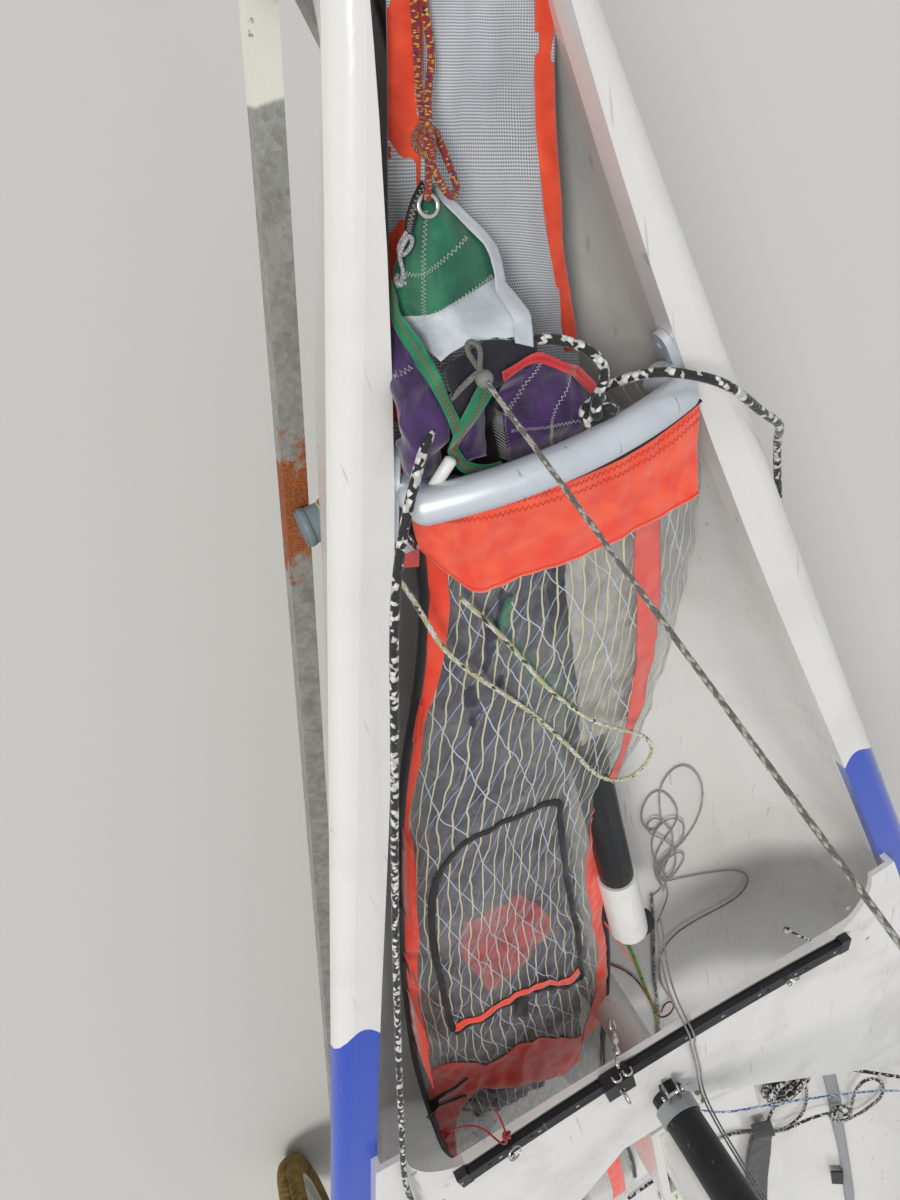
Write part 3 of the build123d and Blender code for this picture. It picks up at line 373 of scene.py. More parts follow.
def gelcoat(name, banded, grip=False, dust=0.5):
    """White gelcoat; banded adds the blue band, and grip the beaded top of the thwart."""
    material, tree, shader = finish(name, Coat_Weight=0.35, Coat_Roughness=0.12, IOR=1.5)
    place, dirt = smudged(tree, 5.0, dust)
    paint = blend_tone(tree, dirt["Smudge"], tone(226, 225, 222), tone(196, 193, 186))
    paint = blend_tone(tree, times(tree, dirt["Scuff"], 0.6), paint, tone(120, 117, 112))
    rough = spread(tree, dirt["Smudge"], 0.0, 0.6, 0.22, 0.42)
    height = times(tree, dirt["Grain"], 0.12)
    if banded:
        axes = xyz(tree, place)
        across = sums(tree, "ABSOLUTE", axes[1])
        edge = put(tree, "ShaderNodeFloatCurve", Value=spread(tree, axes[0], STERN_END, BOW_END))
        curve = edge.mapping.curves[0]
        rows = [(0.0, 0.778), (0.16, 0.838), (0.32, 0.840), (0.477, 0.742), (0.625, 0.562), (0.75, 0.382)]
        rows += [(0.889, 0.185), (0.957, 0.089), (1.0, 0.038)]
        curve.points[0].location = rows[0]
        curve.points[1].location = rows[-1]
        for spot in rows[1:-1]:
            curve.points.new(*spot)
        edge.mapping.update()
        inward = minus(tree, edge.outputs[0], across)
        dip = times(tree, sums(tree, "SINE", times(tree, inward, 52.0)), 0.030)
        front = plus(tree, dip, BAND_FORE)
        ahead = minus(tree, front, axes[0])
        band = times(tree, spread(tree, ahead, 0.0, 0.0012), spread(tree, inward, BAND_WIDTH, 0.0645))
        band = times(tree, band, spread(tree, axes[2], BAND_FOOT, 0.7055))
        band = times(tree, band, spread(tree, axes[0], -2.02, -2.018))
        upper = sums(tree, "MAXIMUM", spread(tree, axes[2], 0.741, 0.743), spread(tree, inward, 0.034, 0.032))
        band = times(tree, band, upper)
        blue = blend_tone(tree, times(tree, dirt["Smudge"], 0.5), tone(8, 66, 186), tone(30, 76, 170))
        blue = blend_tone(tree, times(tree, dirt["Scuff"], 0.5), blue, tone(120, 140, 180))
        paint = blend_tone(tree, band, paint, blue)
        height = plus(tree, height, times(tree, band, 0.25))
    if grip:
        axes = xyz(tree, place)
        dots = put(tree, "ShaderNodeTexVoronoi", Vector=place, Scale=520.0)
        top = spread(tree, axes[2], 0.7788, 0.7795)
        inner = spread(tree, axes[0], 0.655, 0.648)
        share = times(tree, top, inner)
        bead = times(tree, spread(tree, dots.outputs["Distance"], 0.6, 0.1), share)
        height = plus(tree, height, bead)
        stain = times(tree, times(tree, share, dirt["Smudge"]), 0.8)
        paint = blend_tone(tree, stain, paint, tone(150, 148, 142))
        rough = plus(tree, rough, times(tree, share, 0.25))
    feed(tree, shader, Base_Color=paint, Roughness=rough)
    bump(tree, shader, height, 0.25, 0.0006)
    return material


def dress(node, material):
    """Puts a finish on a CAD piece's own slots."""
    data = bpy.data.objects[node].data
    if not data.materials:
        data.materials.append(material)
    for index in range(len(data.materials)):
        data.materials[index] = material


gelcoat_deck = gelcoat("gelcoat_deck", True)
gelcoat_plain = gelcoat("gelcoat_plain", False, dust=0.7)
gelcoat_grip = gelcoat("gelcoat_grip", False, grip=True)
for node in ("deck_port", "deck_starboard"):
    dress(node, gelcoat_deck)
for node in ("hull_bottom", "mast_post", "board_case"):
    dress(node, gelcoat_plain)
dress("thwart", gelcoat_grip)


# Spars and fittings: black anodised aluminium tubes, clear anodised fittings, polished stainless plates
# and wire, moulded black and grey plastic. Each is drawn, sawn and drilled metal that has been handled.
def metal(name, colour, rough, scratched, brushed=(1.0, 1.0, 1.0), metallic=1.0, dull=None):
    """Handled metal: fine lines along its brushed way, scratches and smudges."""
    material, tree, shader = finish(name)
    place, dirt = smudged(tree, 14.0, scratched)
    along = put(tree, "ShaderNodeMapping", Vector=place, Scale=brushed)
    lines = mottle(tree, along.outputs[0], 240.0, 3.0)
    paint = blend_tone(tree, times(tree, dirt["Scuff"], 0.8), colour, dull or tone(190, 190, 188))
    paint = blend_tone(tree, times(tree, dirt["Smudge"], 0.35), paint, tone(96, 92, 84))
    feed(tree, shader, Base_Color=paint, Roughness=spread(tree, lines, 0.3, 0.7, rough, rough + 0.16))
    metal_share = spread(tree, dirt["Smudge"], 0.0, 1.0, metallic, metallic * 0.7)
    feed(tree, shader, Metallic=metal_share)
    bump(tree, shader, lines, 0.12, 0.0004)
    return material


def plastic(name, colour, rough, worn, dull, grain=0.4, dust=0.5):
    """Moulded plastic or paint with a fine grain, dull where it is worn."""
    material, tree, shader = finish(name, IOR=1.48)
    place, dirt = smudged(tree, 22.0, dust)
    paint = blend_tone(tree, times(tree, dirt["Smudge"], worn), colour, dull)
    paint = blend_tone(tree, times(tree, dirt["Scuff"], 0.5), paint, dull)
    feed(tree, shader, Base_Color=paint, Roughness=spread(tree, dirt["Smudge"], 0.0, 0.6, rough, rough + 0.2))
    bump(tree, shader, dirt["Grain"], grain, 0.0005)
    return material


black_tube = metal(
    "black_anodised", tone(38, 39, 42), 0.30, 0.55, (0.05, 1.0, 1.0), 0.35, tone(110, 110, 112)
)
black_mast = metal(
    "black_mast_tube", tone(34, 35, 38), 0.34, 0.6, (1.0, 1.0, 0.03), 0.35, tone(104, 104, 104)
)
black_track = metal("black_track", tone(30, 31, 35), 0.42, 0.5, (1.0, 0.05, 1.0), 0.3, tone(120, 120, 124))
clear_anodised = metal(
    "clear_anodised", tone(196, 201, 206), 0.28, 0.6, (1.0, 0.08, 1.0), 0.85, tone(90, 92, 96)
)
hoop_satin = metal("hoop_satin", tone(214, 221, 228), 0.34, 0.7, (1.0, 0.08, 1.0), 0.45, tone(96, 98, 102))
stainless = metal(
    "polished_stainless", tone(205, 205, 204), 0.14, 0.5, (0.2, 1.0, 1.0), 1.0, tone(120, 116, 110)
)
wire_rope = metal("wire_rope", tone(186, 186, 184), 0.26, 0.7, (1.0, 1.0, 0.4), 1.0, tone(110, 104, 94))
black_moulded = plastic("black_moulded", tone(36, 36, 38), 0.45, 0.5, tone(92, 90, 86))
grey_moulded = plastic("grey_moulded", tone(146, 150, 152), 0.42, 0.5, tone(104, 104, 100))
white_moulded = plastic("white_moulded", tone(232, 232, 229), 0.30, 0.5, tone(178, 174, 164))
grey_pipe = plastic("grey_pipe", tone(118, 134, 140), 0.40, 0.6, tone(84, 92, 92))
foil_paint = plastic("foil_paint", tone(224, 223, 219), 0.24, 0.5, tone(182, 178, 170), grain=0.15)
rubber = plastic("moulded_rubber", tone(44, 44, 44), 0.62, 0.7, tone(110, 104, 92), grain=0.7, dust=0.8)
for material, nodes in (
    (black_tube, "bowsprit boom tiller tiller_extension"),
    (black_mast, "mast_lower mast_top"),
    (black_track, "jib_track mast_step"),
    (black_moulded, "track_caps jib_car"),
    (hoop_satin, "chute_hoop"),
    (clear_anodised, "spreaders boom_fork masthead_crane rudder_stock"),
    (stainless, "rudder_bracket bow_plate chainplates gooseneck jib_shackle"),
    (wire_rope, "shroud_port shroud_starboard forestay"),
    (grey_moulded, "mast_collar"),
    (white_moulded, "bowsprit_sleeve"),
    (grey_pipe, "bow_crossbar"),
    (foil_paint, "centreboard rudder_blade"),
    (rubber, "bow_chock cradle_chocks"),
):
    for node in nodes.split():
        dress(node, material)


# The trolley is welded from square steel tube and hot-dip galvanised. Its zinc is mottled grey, the port
# leg's front end has a coat of white paint, and rust runs from the weld at the crossbar.
WELD_X, PAINT_START = 1.485, 1.925


def galvanised(name, brush_paint):
    """Galvanised steel with rust at the weld; brush_paint adds the white coat on the front end."""
    material, tree, shader = finish(name)
    place, dirt = smudged(tree, 30.0, 0.8)
    axes = xyz(tree, place)
    spangle = put(tree, "ShaderNodeTexVoronoi", Vector=place, Scale=130.0)
    zinc = blend_tone(tree, spangle.outputs["Color"], tone(150, 151, 148), tone(178, 178, 174))
    zinc = blend_tone(tree, dirt["Smudge"], zinc, tone(124, 120, 108))
    patchy = mottle(tree, place, 26.0, 8.0, Roughness=0.7)
    from_weld = sums(tree, "ABSOLUTE", minus(tree, axes[0], WELD_X))
    near = spread(tree, from_weld, 0.02, 0.20, 1.0, 0.0)
    reach = plus(tree, times(tree, near, 0.62), patchy)
    rust = spread(tree, reach, 0.86, 0.98)
    flecks = spread(tree, patchy, 0.66, 0.74)
    rust = sums(tree, "MAXIMUM", rust, flecks)
    brown = blend_tone(tree, spread(tree, dirt["Grain"], 0.35, 0.65), tone(176, 92, 34), tone(104, 66, 42))
    paint = blend_tone(tree, rust, zinc, brown)
    share = minus(tree, 1.0, rust)
    if brush_paint:
        ragged = plus(tree, axes[0], times(tree, patchy, 0.012))
        front = spread(tree, ragged, PAINT_START, 1.929)
        chips = spread(tree, patchy, 0.60, 0.63, 1.0, 0.0)
        coat = times(tree, front, chips)
        paint = blend_tone(tree, coat, paint, tone(226, 224, 214))
        share = times(tree, share, minus(tree, 1.0, coat))
    feed(tree, shader, Base_Color=paint, Metallic=times(tree, share, 0.55))
    feed(tree, shader, Roughness=spread(tree, share, 0.0, 1.0, 0.82, 0.46))
    bump(tree, shader, plus(tree, dirt["Grain"], times(tree, rust, 0.6)), 0.5, 0.0008)
    return material


zinc_plain = galvanised("galvanised_steel", False)
zinc_painted = galvanised("galvanised_part_painted", True)
for node in ("axle_beam", "trolley_leg_starboard", "drawbar", "front_foot", "cradle_bar"):
    dress(node, zinc_plain)
dress("trolley_leg_port", zinc_painted)


# Tyres: moulded rubber with a tread of slanting blocks that meet at a middle groove, grey-brown with dust.
# Each carcass is turned from one profile, and the tread is cut by pushing the grooves in.
axle_x, wheel_side, axle_z = -0.665, 0.82, 0.19
TYRE_PROFILE = [
    (-0.021, 0.1315), (-0.0345, 0.1530), (-0.0350, 0.1640), (-0.0315, 0.1752), (-0.0250, 0.1830),
    (-0.0180, 0.1868), (-0.0090, 0.1886), (-0.0030, 0.1890), (0.0, 0.1890), (0.0030, 0.1890),
    (0.0090, 0.1886), (0.0180, 0.1868), (0.0250, 0.1830), (0.0315, 0.1752), (0.0350, 0.1640),
    (0.0345, 0.1530), (0.021, 0.1315),
]


TREAD_RADIUS, SHOULDER, BLOCK_PITCH = 0.19, 0.178, 0.0165


def shell(name, places, faces, material, smooth=True, maps=None):
    """A mesh piece from its points and faces; maps gives each point's place in the weave."""
    mesh = bpy.data.meshes.new(name)
    mesh.from_pydata([tuple(place) for place in places], [], faces)
    mesh.materials.append(material)
    if maps:
        layer = mesh.uv_layers.new(name="weave")
        for loop in mesh.loops:
            layer.data[loop.index].uv = maps[loop.vertex_index]
    for face in mesh.polygons:
        face.use_smooth = smooth
    mesh.update()
    return stand(name, mesh)


def round_faces(steps, count, closed=False):
    """Faces between rows of points that stand all round a turned piece, each row with the same count."""
    faces = []
    for step in range(steps):
        a, b = step * count, (step + 1) % steps * count
        for k in range(count if closed else count - 1):
            after = (k + 1) % count
            faces.append((a + k, b + k, b + after, a + after))
    return faces


def turned(name, profile, steps, centre, material, shape=None, axis="Y"):
    """A profile of (along the axis, radius) turned about the axis, open at its two ends."""
    places, maps = [], []
    count = len(profile)
    for step in range(steps):
        angle = 2 * pi * step / steps
        for index, (along, radius) in enumerate(profile):
            if shape:
                radius = shape(along, radius, angle)
            across = (radius * cos(angle), radius * sin(angle))
            offset = (across[0], along, across[1]) if axis == "Y" else (*across, along)
            places.append(tuple(c + o for c, o in zip(centre, offset)))
            maps.append((angle * TREAD_RADIUS, along))
    return shell(name, places, round_faces(steps, count), material, maps=maps)


def tread(along, radius, angle):
    """The tread's radius with slanting grooves and one groove round the middle."""
    if radius < SHOULDER:
        return radius
    slant = (angle * TREAD_RADIUS + 0.55 * abs(along)) / BLOCK_PITCH
    cut = 0.0042 if slant % 1.0 < 0.24 else 0.0
    if abs(along) < 0.0015:
        cut = 0.0046
    return radius - cut * min(1.0, (radius - SHOULDER) / 0.006)


tyre_rubber, tree, shader = finish("dusty_tyre_rubber", Roughness=0.86)
place, dirt = smudged(tree, 40.0, 1.0)
axes = xyz(tree, place)
dust = spread(tree, mottle(tree, place, 34.0, 6.0), 0.30, 0.62)
paint = blend_tone(tree, dust, tone(84, 68, 34), tone(150, 120, 52))
paint = blend_tone(tree, times(tree, dirt["Grain"], 0.6), paint, tone(110, 92, 58))
feed(tree, shader, Base_Color=paint)
bump(tree, shader, dirt["Grain"], 0.6, 0.0008)
rim_plastic = plastic("moulded_rim", tone(222, 221, 214), 0.40, 0.8, tone(150, 140, 118), dust=0.9)
for side, label in ((1, "port"), (-1, "starboard")):
    centre = (axle_x, side * wheel_side, axle_z)
    tyre = turned("tyre_tread_" + label, TYRE_PROFILE, 432, centre, tyre_rubber, tread)
    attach(tyre, "wheel_" + label)
    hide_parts("tyre_" + label)
    dress("rim_" + label, rim_plastic)


# The launch apron is a coated open mesh with orange cloth sewn along both edges. It slopes down from the
# bow to the hoop and lies loose, so it bags and folds beside the sail.
def smooth_between(values, place):
    """A point at a place from 0 to 1 along a few control points, on a smooth curve through them."""
    last = len(values) - 1
    index = min(int(place * last), last - 1)
    t = place * last - index
    picks = [values[max(0, min(last, index + step))] for step in (-1, 0, 1, 2)]
    a, b, c, d = (Vector(pick) for pick in picks)
    return 0.5 * ((2 * b) + (c - a) * t + (2 * a - 5 * b + 4 * c - d) * t**2 + (3 * b - a - 3 * c + d) * t**3)


def run_length(points):
    """The length of a run of points."""
    return sum((Vector(b) - Vector(a)).length for a, b in zip(points, points[1:]))


def run_spot(points, index, count):
    """One of the even places along a run, and the level direction across the run there."""
    ahead = smooth_between(points, min(1, (index + 0.5) / count))
    back = smooth_between(points, max(0, (index - 0.5) / count))
    return smooth_between(points, index / count), (ahead - back).cross(Vector((0, 0, 1))).normalized()


def cloth(name, rows, material, step=6.0, wrinkle=0.0, wave=30.0, thick=0.7, seed=1, loose_edge=1.0):
    """A sheet through rows of control points in millimetres, wrinkled across its face, with two maps."""
    long_way = max(run_length(column) for column in zip(*rows))
    short_way = max(run_length(row) for row in rows)
    down = max(2, round(long_way / step))
    over = max(2, round(short_way / step))
    places, shares = [], []
    for i in range(down + 1):
        line_across = [smooth_between([row[k] for row in rows], i / down) for k in range(len(rows[0]))]
        for j in range(over + 1):
            places.append(smooth_between(line_across, j / over))
            shares.append((j / over, i / down))
    width = over + 1
    if wrinkle:
        moved = []
        # The wrinkles are short across the boat and longer along it, and each seed has its own.
        for index, place in enumerate(places):
            i, j = divmod(index, width)
            ahead = places[min(i + 1, down) * width + j] - places[max(i - 1, 0) * width + j]
            beside = places[i * width + min(j + 1, over)] - places[i * width + max(j - 1, 0)]
            face_way = ahead.cross(beside).normalized()
            spot = Vector((place.x / wave, place.y / (0.45 * wave), place.z / wave + 7.3 * seed))
            rise = noise.noise(spot) + 0.45 * noise.noise(spot * 2.3)
            rim = min(j, over - j) / max(1, over / 2)
            loose = loose_edge + (1 - loose_edge) * min(1, 2 * rim)
            moved.append(place + face_way * rise * wrinkle * loose)
        places = moved
    places = [place / 1000 for place in places]
    faces = []
    for i in range(down):
        for j in range(over):
            a = i * width + j
            faces.append((a, a + 1, a + 1 + width, a + width))
    maps = [(u * short_way / 1000, v * long_way / 1000) for u, v in shares]
    piece = shell(name, places, faces, material, maps=maps)
    layer = piece.data.uv_layers.new(name="share")
    for loop in piece.data.loops:
        layer.data[loop.index].uv = shares[loop.vertex_index]
    body = piece.modifiers.new("thickness", "SOLIDIFY")
    body.thickness = thick / 1000
    body.offset = 0
    return piece


weave, given, out = effect(
    "weave",
    [("Map", PLACE, (0, 0, 0)), ("Threads", NUMBER, 2500.0)],
    [("Height", NUMBER), ("Shade", NUMBER)],
)
axes = xyz(weave, given["Map"])
warp = sums(weave, "SINE", times(weave, axes[0], given["Threads"]))
weft = sums(weave, "SINE", times(weave, axes[1], given["Threads"]))
weave.links.new(spread(weave, times(weave, warp, weft), -1.0, 1.0), out["Height"])
weave.links.new(mottle(weave, given["Map"], 38.0, 4.0), out["Shade"])


def in_metres(tree):
    """A cloth's place in its own weave, in metres."""
    return put(tree, "ShaderNodeUVMap", {"uv_map": "weave"}).outputs[0]


def woven(name, light, dark, rough=0.62, threads=2600.0, sheen=0.3, rip=0.0, worn=0.5):
    """Plain woven cloth: threads, a light and a darker shade of its colour, painted shade in the hollows
    between the threads, and rip-stop lines with a painted highlight on them.
    """
    material, tree, shader = finish(name, Roughness=rough, Sheen_Weight=sheen, Sheen_Roughness=0.45)
    place = in_metres(tree)
    cloth_weave = use(tree, weave, Map=place, Threads=threads)
    paint = blend_tone(tree, spread(tree, cloth_weave["Shade"], 0.35, 0.65), dark, light)
    # Painted shade: the low parts of the weave, between the threads, are mixed toward the dark tone.
    paint = blend_tone(tree, times(tree, spread(tree, cloth_weave["Height"], 0.6, 0.0), 0.25), paint, dark)
    height = cloth_weave["Height"]
    if rip:
        axes = xyz(tree, place)
        rows = [ripple(tree, axes[k], pi / rip) for k in (0, 1)]
        ribs = spread(tree, sums(tree, "MINIMUM", *rows), 0.16, 0.05)
        # Painted highlight: the raised rip-stop ribs are mixed toward the light tone.
        paint = blend_tone(tree, times(tree, ribs, 0.18), paint, light)
        height = plus(tree, height, ribs)
    stain = spread(tree, mottle(tree, place, 16.0, 6.0), 0.55, 0.8)
    paint = blend_tone(tree, times(tree, stain, worn), paint, dark)
    feed(tree, shader, Base_Color=paint)
    bump(tree, shader, height, 0.35, 0.0004)
    return material


apron_mesh, tree, shader = finish("coated_open_mesh", Roughness=0.48, Sheen_Weight=0.2)
place = in_metres(tree)
axes = xyz(tree, place)
MESH_PITCH = 0.0024
strand = [ripple(tree, axes[k], pi / MESH_PITCH) for k in (0, 1)]
mesh_hole_shade = spread(tree, sums(tree, "MINIMUM", *strand), 0.52, 0.72)
dingy = spread(tree, mottle(tree, place, 14.0, 5.0), 0.35, 0.7)
coated = blend_tone(tree, dingy, tone(218, 222, 228), tone(196, 200, 206))
# Painted shade: the mesh's holes are painted dark grey for the shade seen through them; the same mask gives
# the strands their bump.
paint = blend_tone(tree, mesh_hole_shade, coated, tone(96, 98, 104))
feed(tree, shader, Base_Color=paint)
bump(tree, shader, minus(tree, 1.0, mesh_hole_shade), 0.6, 0.0006)
orange_cloth = woven("orange_spray_cloth", tone(255, 88, 46), tone(226, 60, 26), 0.5, 3200.0, 0.4)
APRON_ROWS = [
    [(2026, 35, 732), (2020, 11, 738), (2011, -28, 738), (2000, -77, 730)],
    [(2004, 40, 728), (1998, 15, 736), (1988, -24, 735), (1976, -76, 724)],
    [(1973, 46, 722), (1967, 21, 730), (1956, -21, 728), (1941, -73, 716)],
    [(1940, 53, 716), (1933, 27, 724), (1920, -17, 720), (1903, -72, 708)],
    [(1897, 62, 708), (1890, 35, 716), (1874, -15, 712), (1853, -73, 699)],
    [(1857, 70, 700), (1846, 34, 706), (1832, -20, 710), (1805, -74, 690)],
    [(1813, 79, 692), (1796, 32, 694), (1782, -33, 700), (1761, -78, 682)],
    [(1764, 89, 684), (1741, 32, 684), (1731, -41, 686), (1711, -83, 674)],
    [(1701, 101, 674), (1675, 43, 674), (1668, -43, 672), (1655, -89, 662)],
    [(1648, 107, 664), (1631, 49, 664), (1611, -40, 660), (1604, -102, 656)],
]
apron = cloth("launch_apron", APRON_ROWS, apron_mesh, 5.0, 2.4, 46.0, 0.8, 3)
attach(apron, "boat")
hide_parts("launch_mesh")


def edge_strip(name, rows, column, width, material, rise=1.4, step=5.0, inward=1):
    """A strip of cloth sewn over one edge of a sheet whose control rows are given."""
    strip_rows = []
    for row in rows:
        rim = Vector(row[column])
        beside = Vector(row[column + inward]) - rim
        inner = rim + beside * (width / beside.length)
        strip_rows.append([tuple(rim + Vector((0, 0, rise))), tuple(inner + Vector((0, 0, rise)))])
    return cloth(name, strip_rows, material, step, 1.6, 40.0, 0.9, 3)


def zigzag(name, runs, material, width=2.2, pitch=2.6, thread=0.35, over=None, rise=0.9):
    """Zigzag stitching along runs of points, laid on the pieces that it sews."""
    curve = bpy.data.curves.new(name, "CURVE")
    curve.dimensions = "3D"
    curve.bevel_depth = thread / 1000
    curve.bevel_resolution = 0
    for run in runs:
        points = [Vector(point) for point in run]
        steps = max(4, round(run_length(points) / pitch * 2))
        dots = []
        for index in range(steps + 1):
            here, side = run_spot(points, index, steps)
            dots.append(here + side * (width if index % 2 else -width) / 1.6)
        if over:
            dots = [lifted(over, dot, rise) for dot in dots]
        spline = curve.splines.new("POLY")
        spline.points.add(len(dots) - 1)
        for point, dot in zip(spline.points, dots):
            point.co = (*(dot / 1000), 1.0)
    curve.materials.append(material)
    piece = stand(name, curve)
    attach(piece, "boat")
    return piece


lookups = {}


def lifted(pieces, dot, rise):
    """The point straight over a dot on the highest of some sheets, all in millimetres."""
    top = None
    for piece in pieces:
        if piece.name not in lookups:
            corners = [vertex.co for vertex in piece.data.vertices]
            lookups[piece.name] = BVHTree.FromPolygons(
                corners, [tuple(face.vertices) for face in piece.data.polygons]
            )
        hit = lookups[piece.name].ray_cast(Vector((dot.x, dot.y, dot.z + 90)) / 1000, Vector((0, 0, -1)))
        if hit[0] is not None and (top is None or hit[0].z > top):
            top = hit[0].z
    return Vector((dot.x, dot.y, top * 1000 + rise if top is not None else dot.z))


thread_white = woven("sewing_thread_white", tone(226, 224, 220), tone(190, 188, 184), worn=0.2)
thread_orange = woven("sewing_thread_orange", tone(232, 70, 30), tone(190, 48, 20), worn=0.2)
apron_port = edge_strip("apron_edge_port", APRON_ROWS, 0, 22.0, orange_cloth)
apron_starboard = edge_strip("apron_edge_starboard", APRON_ROWS[:8], -1, 18.0, orange_cloth, inward=-1)
for piece in (apron_port, apron_starboard):
    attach(piece, "boat")


# The spinnaker is stowed by hauling it down the chute: its tack corner lies over the bundle, and green and
# purple nylon is folded behind the hoop, with sewn tapes, webbing at the corners and brass eyes.
HEAD_ROWS = [
    [(1899, 45, 728), (1900, 41, 730), (1899, 38, 730), (1894, 34, 728)],
    [(1877, 62, 732), (1879, 55, 742), (1879, 40, 742), (1873, 23, 732)],
    [(1853, 81, 736), (1854, 68, 750), (1853, 43, 752), (1845, 7, 738)],
    [(1825, 89, 744), (1823, 69, 758), (1826, 49, 760), (1826, 7, 744)],
    [(1796, 77, 750), (1801, 65, 762), (1802, 47, 764), (1788, 10, 748)],
]
HEAD_TAPE_ROWS = [
    [(1894, 39, 731), (1894, 33, 729)],
    [(1877, 30, 738), (1875, 20, 731)],
    [(1850, 14, 743), (1847, 3, 736)],
    [(1831, 14, 750), (1828, 3, 742)],
    [(1814, 18, 753), (1809, 5, 744)],
    [(1791, 21, 752), (1783, 8, 744)],
]
HEAD_WEBBING_ROWS = [
    [(1902, 45, 729), (1898, 40, 732)],
    [(1894, 56, 733), (1890, 52, 737)],
    [(1884, 64, 735), (1879, 60, 739)],
    [(1877, 67, 736), (1875, 64, 740)],
]
LEFT_TAPE_ROWS = [
    [(1852, 86, 742), (1838, 87, 746)],
    [(1828, 95, 748), (1830, 90, 756)],
    [(1805, 93, 758), (1813, 84, 766)],
    [(1787, 91, 766), (1795, 82, 772)],
    [(1766, 86, 768), (1774, 80, 774)],
    [(1744, 84, 760), (1750, 75, 764)],
]
LEFT_SAIL_ROWS = [
    [(1824, 95, 744), (1813, 93, 754), (1797, 89, 762), (1772, 83, 764)],
    [(1800, 106, 752), (1792, 105, 768), (1778, 100, 776), (1746, 85, 764)],
    [(1774, 115, 758), (1768, 116, 778), (1751, 108, 780), (1726, 89, 766)],
    [(1740, 119, 758), (1736, 118, 774), (1726, 110, 776), (1706, 90, 760)],
    [(1704, 118, 744), (1707, 115, 756), (1703, 107, 758), (1688, 91, 744)],
]
DARK_ROWS = [
    [(1795, 76, 744), (1797, 57, 748), (1799, 33, 748), (1786, 4, 742)],
    [(1773, 77, 748), (1772, 60, 752), (1773, 36, 754), (1769, 6, 746)],
    [(1746, 77, 746), (1742, 62, 748), (1739, 37, 750), (1733, 9, 744)],
    [(1714, 81, 738), (1706, 64, 738), (1700, 38, 738), (1697, 11, 736)],
    [(1683, 88, 728), (1676, 66, 728), (1668, 40, 728), (1662, 14, 728)],
]
FOLD_TAPE_ROWS = [
    [(1774, 53, 770), (1761, 46, 768)],
    [(1761, 67, 774), (1747, 58, 770)],
    [(1749, 80, 776), (1732, 72, 770)],
    [(1737, 87, 774), (1725, 77, 768)],
    [(1721, 86, 772), (1717, 75, 768)],
    [(1701, 77, 768), (1709, 71, 766)],
    [(1692, 61, 766), (1699, 58, 764)],
    [(1692, 43, 764), (1695, 44, 762)],
]
FOLD_SAIL_ROWS = [
    [(1760, 46, 764), (1760, 45, 765), (1757, 44, 764)],
    [(1745, 61, 766), (1746, 56, 770), (1742, 48, 764)],
    [(1728, 76, 766), (1729, 66, 772), (1721, 52, 764)],
    [(1709, 72, 764), (1709, 65, 768), (1704, 54, 762)],
]
RIGHT_SAIL_ROWS = [
    [(1768, 35, 758), (1772, 6, 766), (1744, -30, 764), (1692, -63, 758)],
    [(1746, 34, 764), (1751, 10, 776), (1725, -25, 774), (1688, -60, 762)],
    [(1720, 36, 764), (1721, 10, 778), (1703, -27, 774), (1681, -56, 762)],
    [(1698, 34, 758), (1699, 7, 770), (1691, -25, 768), (1676, -54, 758)],
    [(1671, 31, 742), (1670, 2, 752), (1666, -31, 752), (1660, -59, 744)],
]
RED_TAPE_ROWS = [
    [(1774, 35, 757), (1766, 35, 761)],
    [(1776, 21, 763), (1770, 22, 767)],
    [(1778, 5, 766), (1771, 9, 772)],
    [(1765, -12, 768), (1761, -6, 774)],
    [(1748, -32, 766), (1744, -24, 773)],
    [(1717, -52, 763), (1714, -44, 768)],
]
END_WEBBING_ROWS = [
    [(1719, -51, 764), (1715, -43, 769)],
    [(1699, -62, 761), (1696, -54, 765)],
]
nylon_green = woven("nylon_green", tone(10, 118, 84), tone(4, 84, 60), 0.42, 5200.0, 0.5, 0.006)
nylon_white = woven("nylon_white", tone(216, 222, 228), tone(176, 184, 192), 0.46, 5200.0, 0.4, 0.006)
nylon_purple = woven("nylon_purple", tone(72, 36, 104), tone(40, 18, 62), 0.40, 5200.0, 0.5, 0.006)
# The deep fold's cloth is near black: the sail's dark navy, darkened further as painted shade in the hollow
# of the bundle.
nylon_navy_painted_shade = woven("nylon_navy_painted_shade", tone(26, 22, 44), tone(10, 9, 16), 0.5, 5200.0, 0.3, 0.006)
tape_green = woven("tape_green", tone(16, 140, 98), tone(6, 104, 70), 0.5, 3000.0, 0.4)
tape_red = woven("tape_red", tone(226, 58, 66), tone(182, 34, 50), 0.5, 3000.0, 0.4)
webbing_black = woven("webbing_black", tone(27, 27, 30), tone(11, 11, 13), 0.6, 2200.0, 0.3)
sail_head = cloth("sail_tack_corner", HEAD_ROWS, nylon_green, 3.5, 1.6, 26.0, 0.6, 5)
sail_head.data.materials.append(nylon_white)
shares = sail_head.data.uv_layers["share"].data
for face in sail_head.data.polygons:
    middle = sum(shares[loop].uv.y for loop in face.loop_indices) / len(face.loop_indices)
    if middle > 0.75:
        face.material_index = 1
sail_sheets = [
    sail_head,
    cloth("sail_left_fold", LEFT_SAIL_ROWS, nylon_purple, 3.5, 3.0, 22.0, 0.6, 6),
    cloth("sail_deep_fold", DARK_ROWS, nylon_navy_painted_shade, 4.0, 5.0, 24.0, 0.6, 7),
    cloth("sail_mid_fold", FOLD_SAIL_ROWS, nylon_purple, 3.0, 1.6, 16.0, 0.6, 8),
    cloth("sail_clew_corner", RIGHT_SAIL_ROWS, nylon_purple, 3.5, 2.2, 30.0, 0.6, 9),
]
for piece in sail_sheets:
    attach(piece, "boat")
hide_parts("spinnaker")
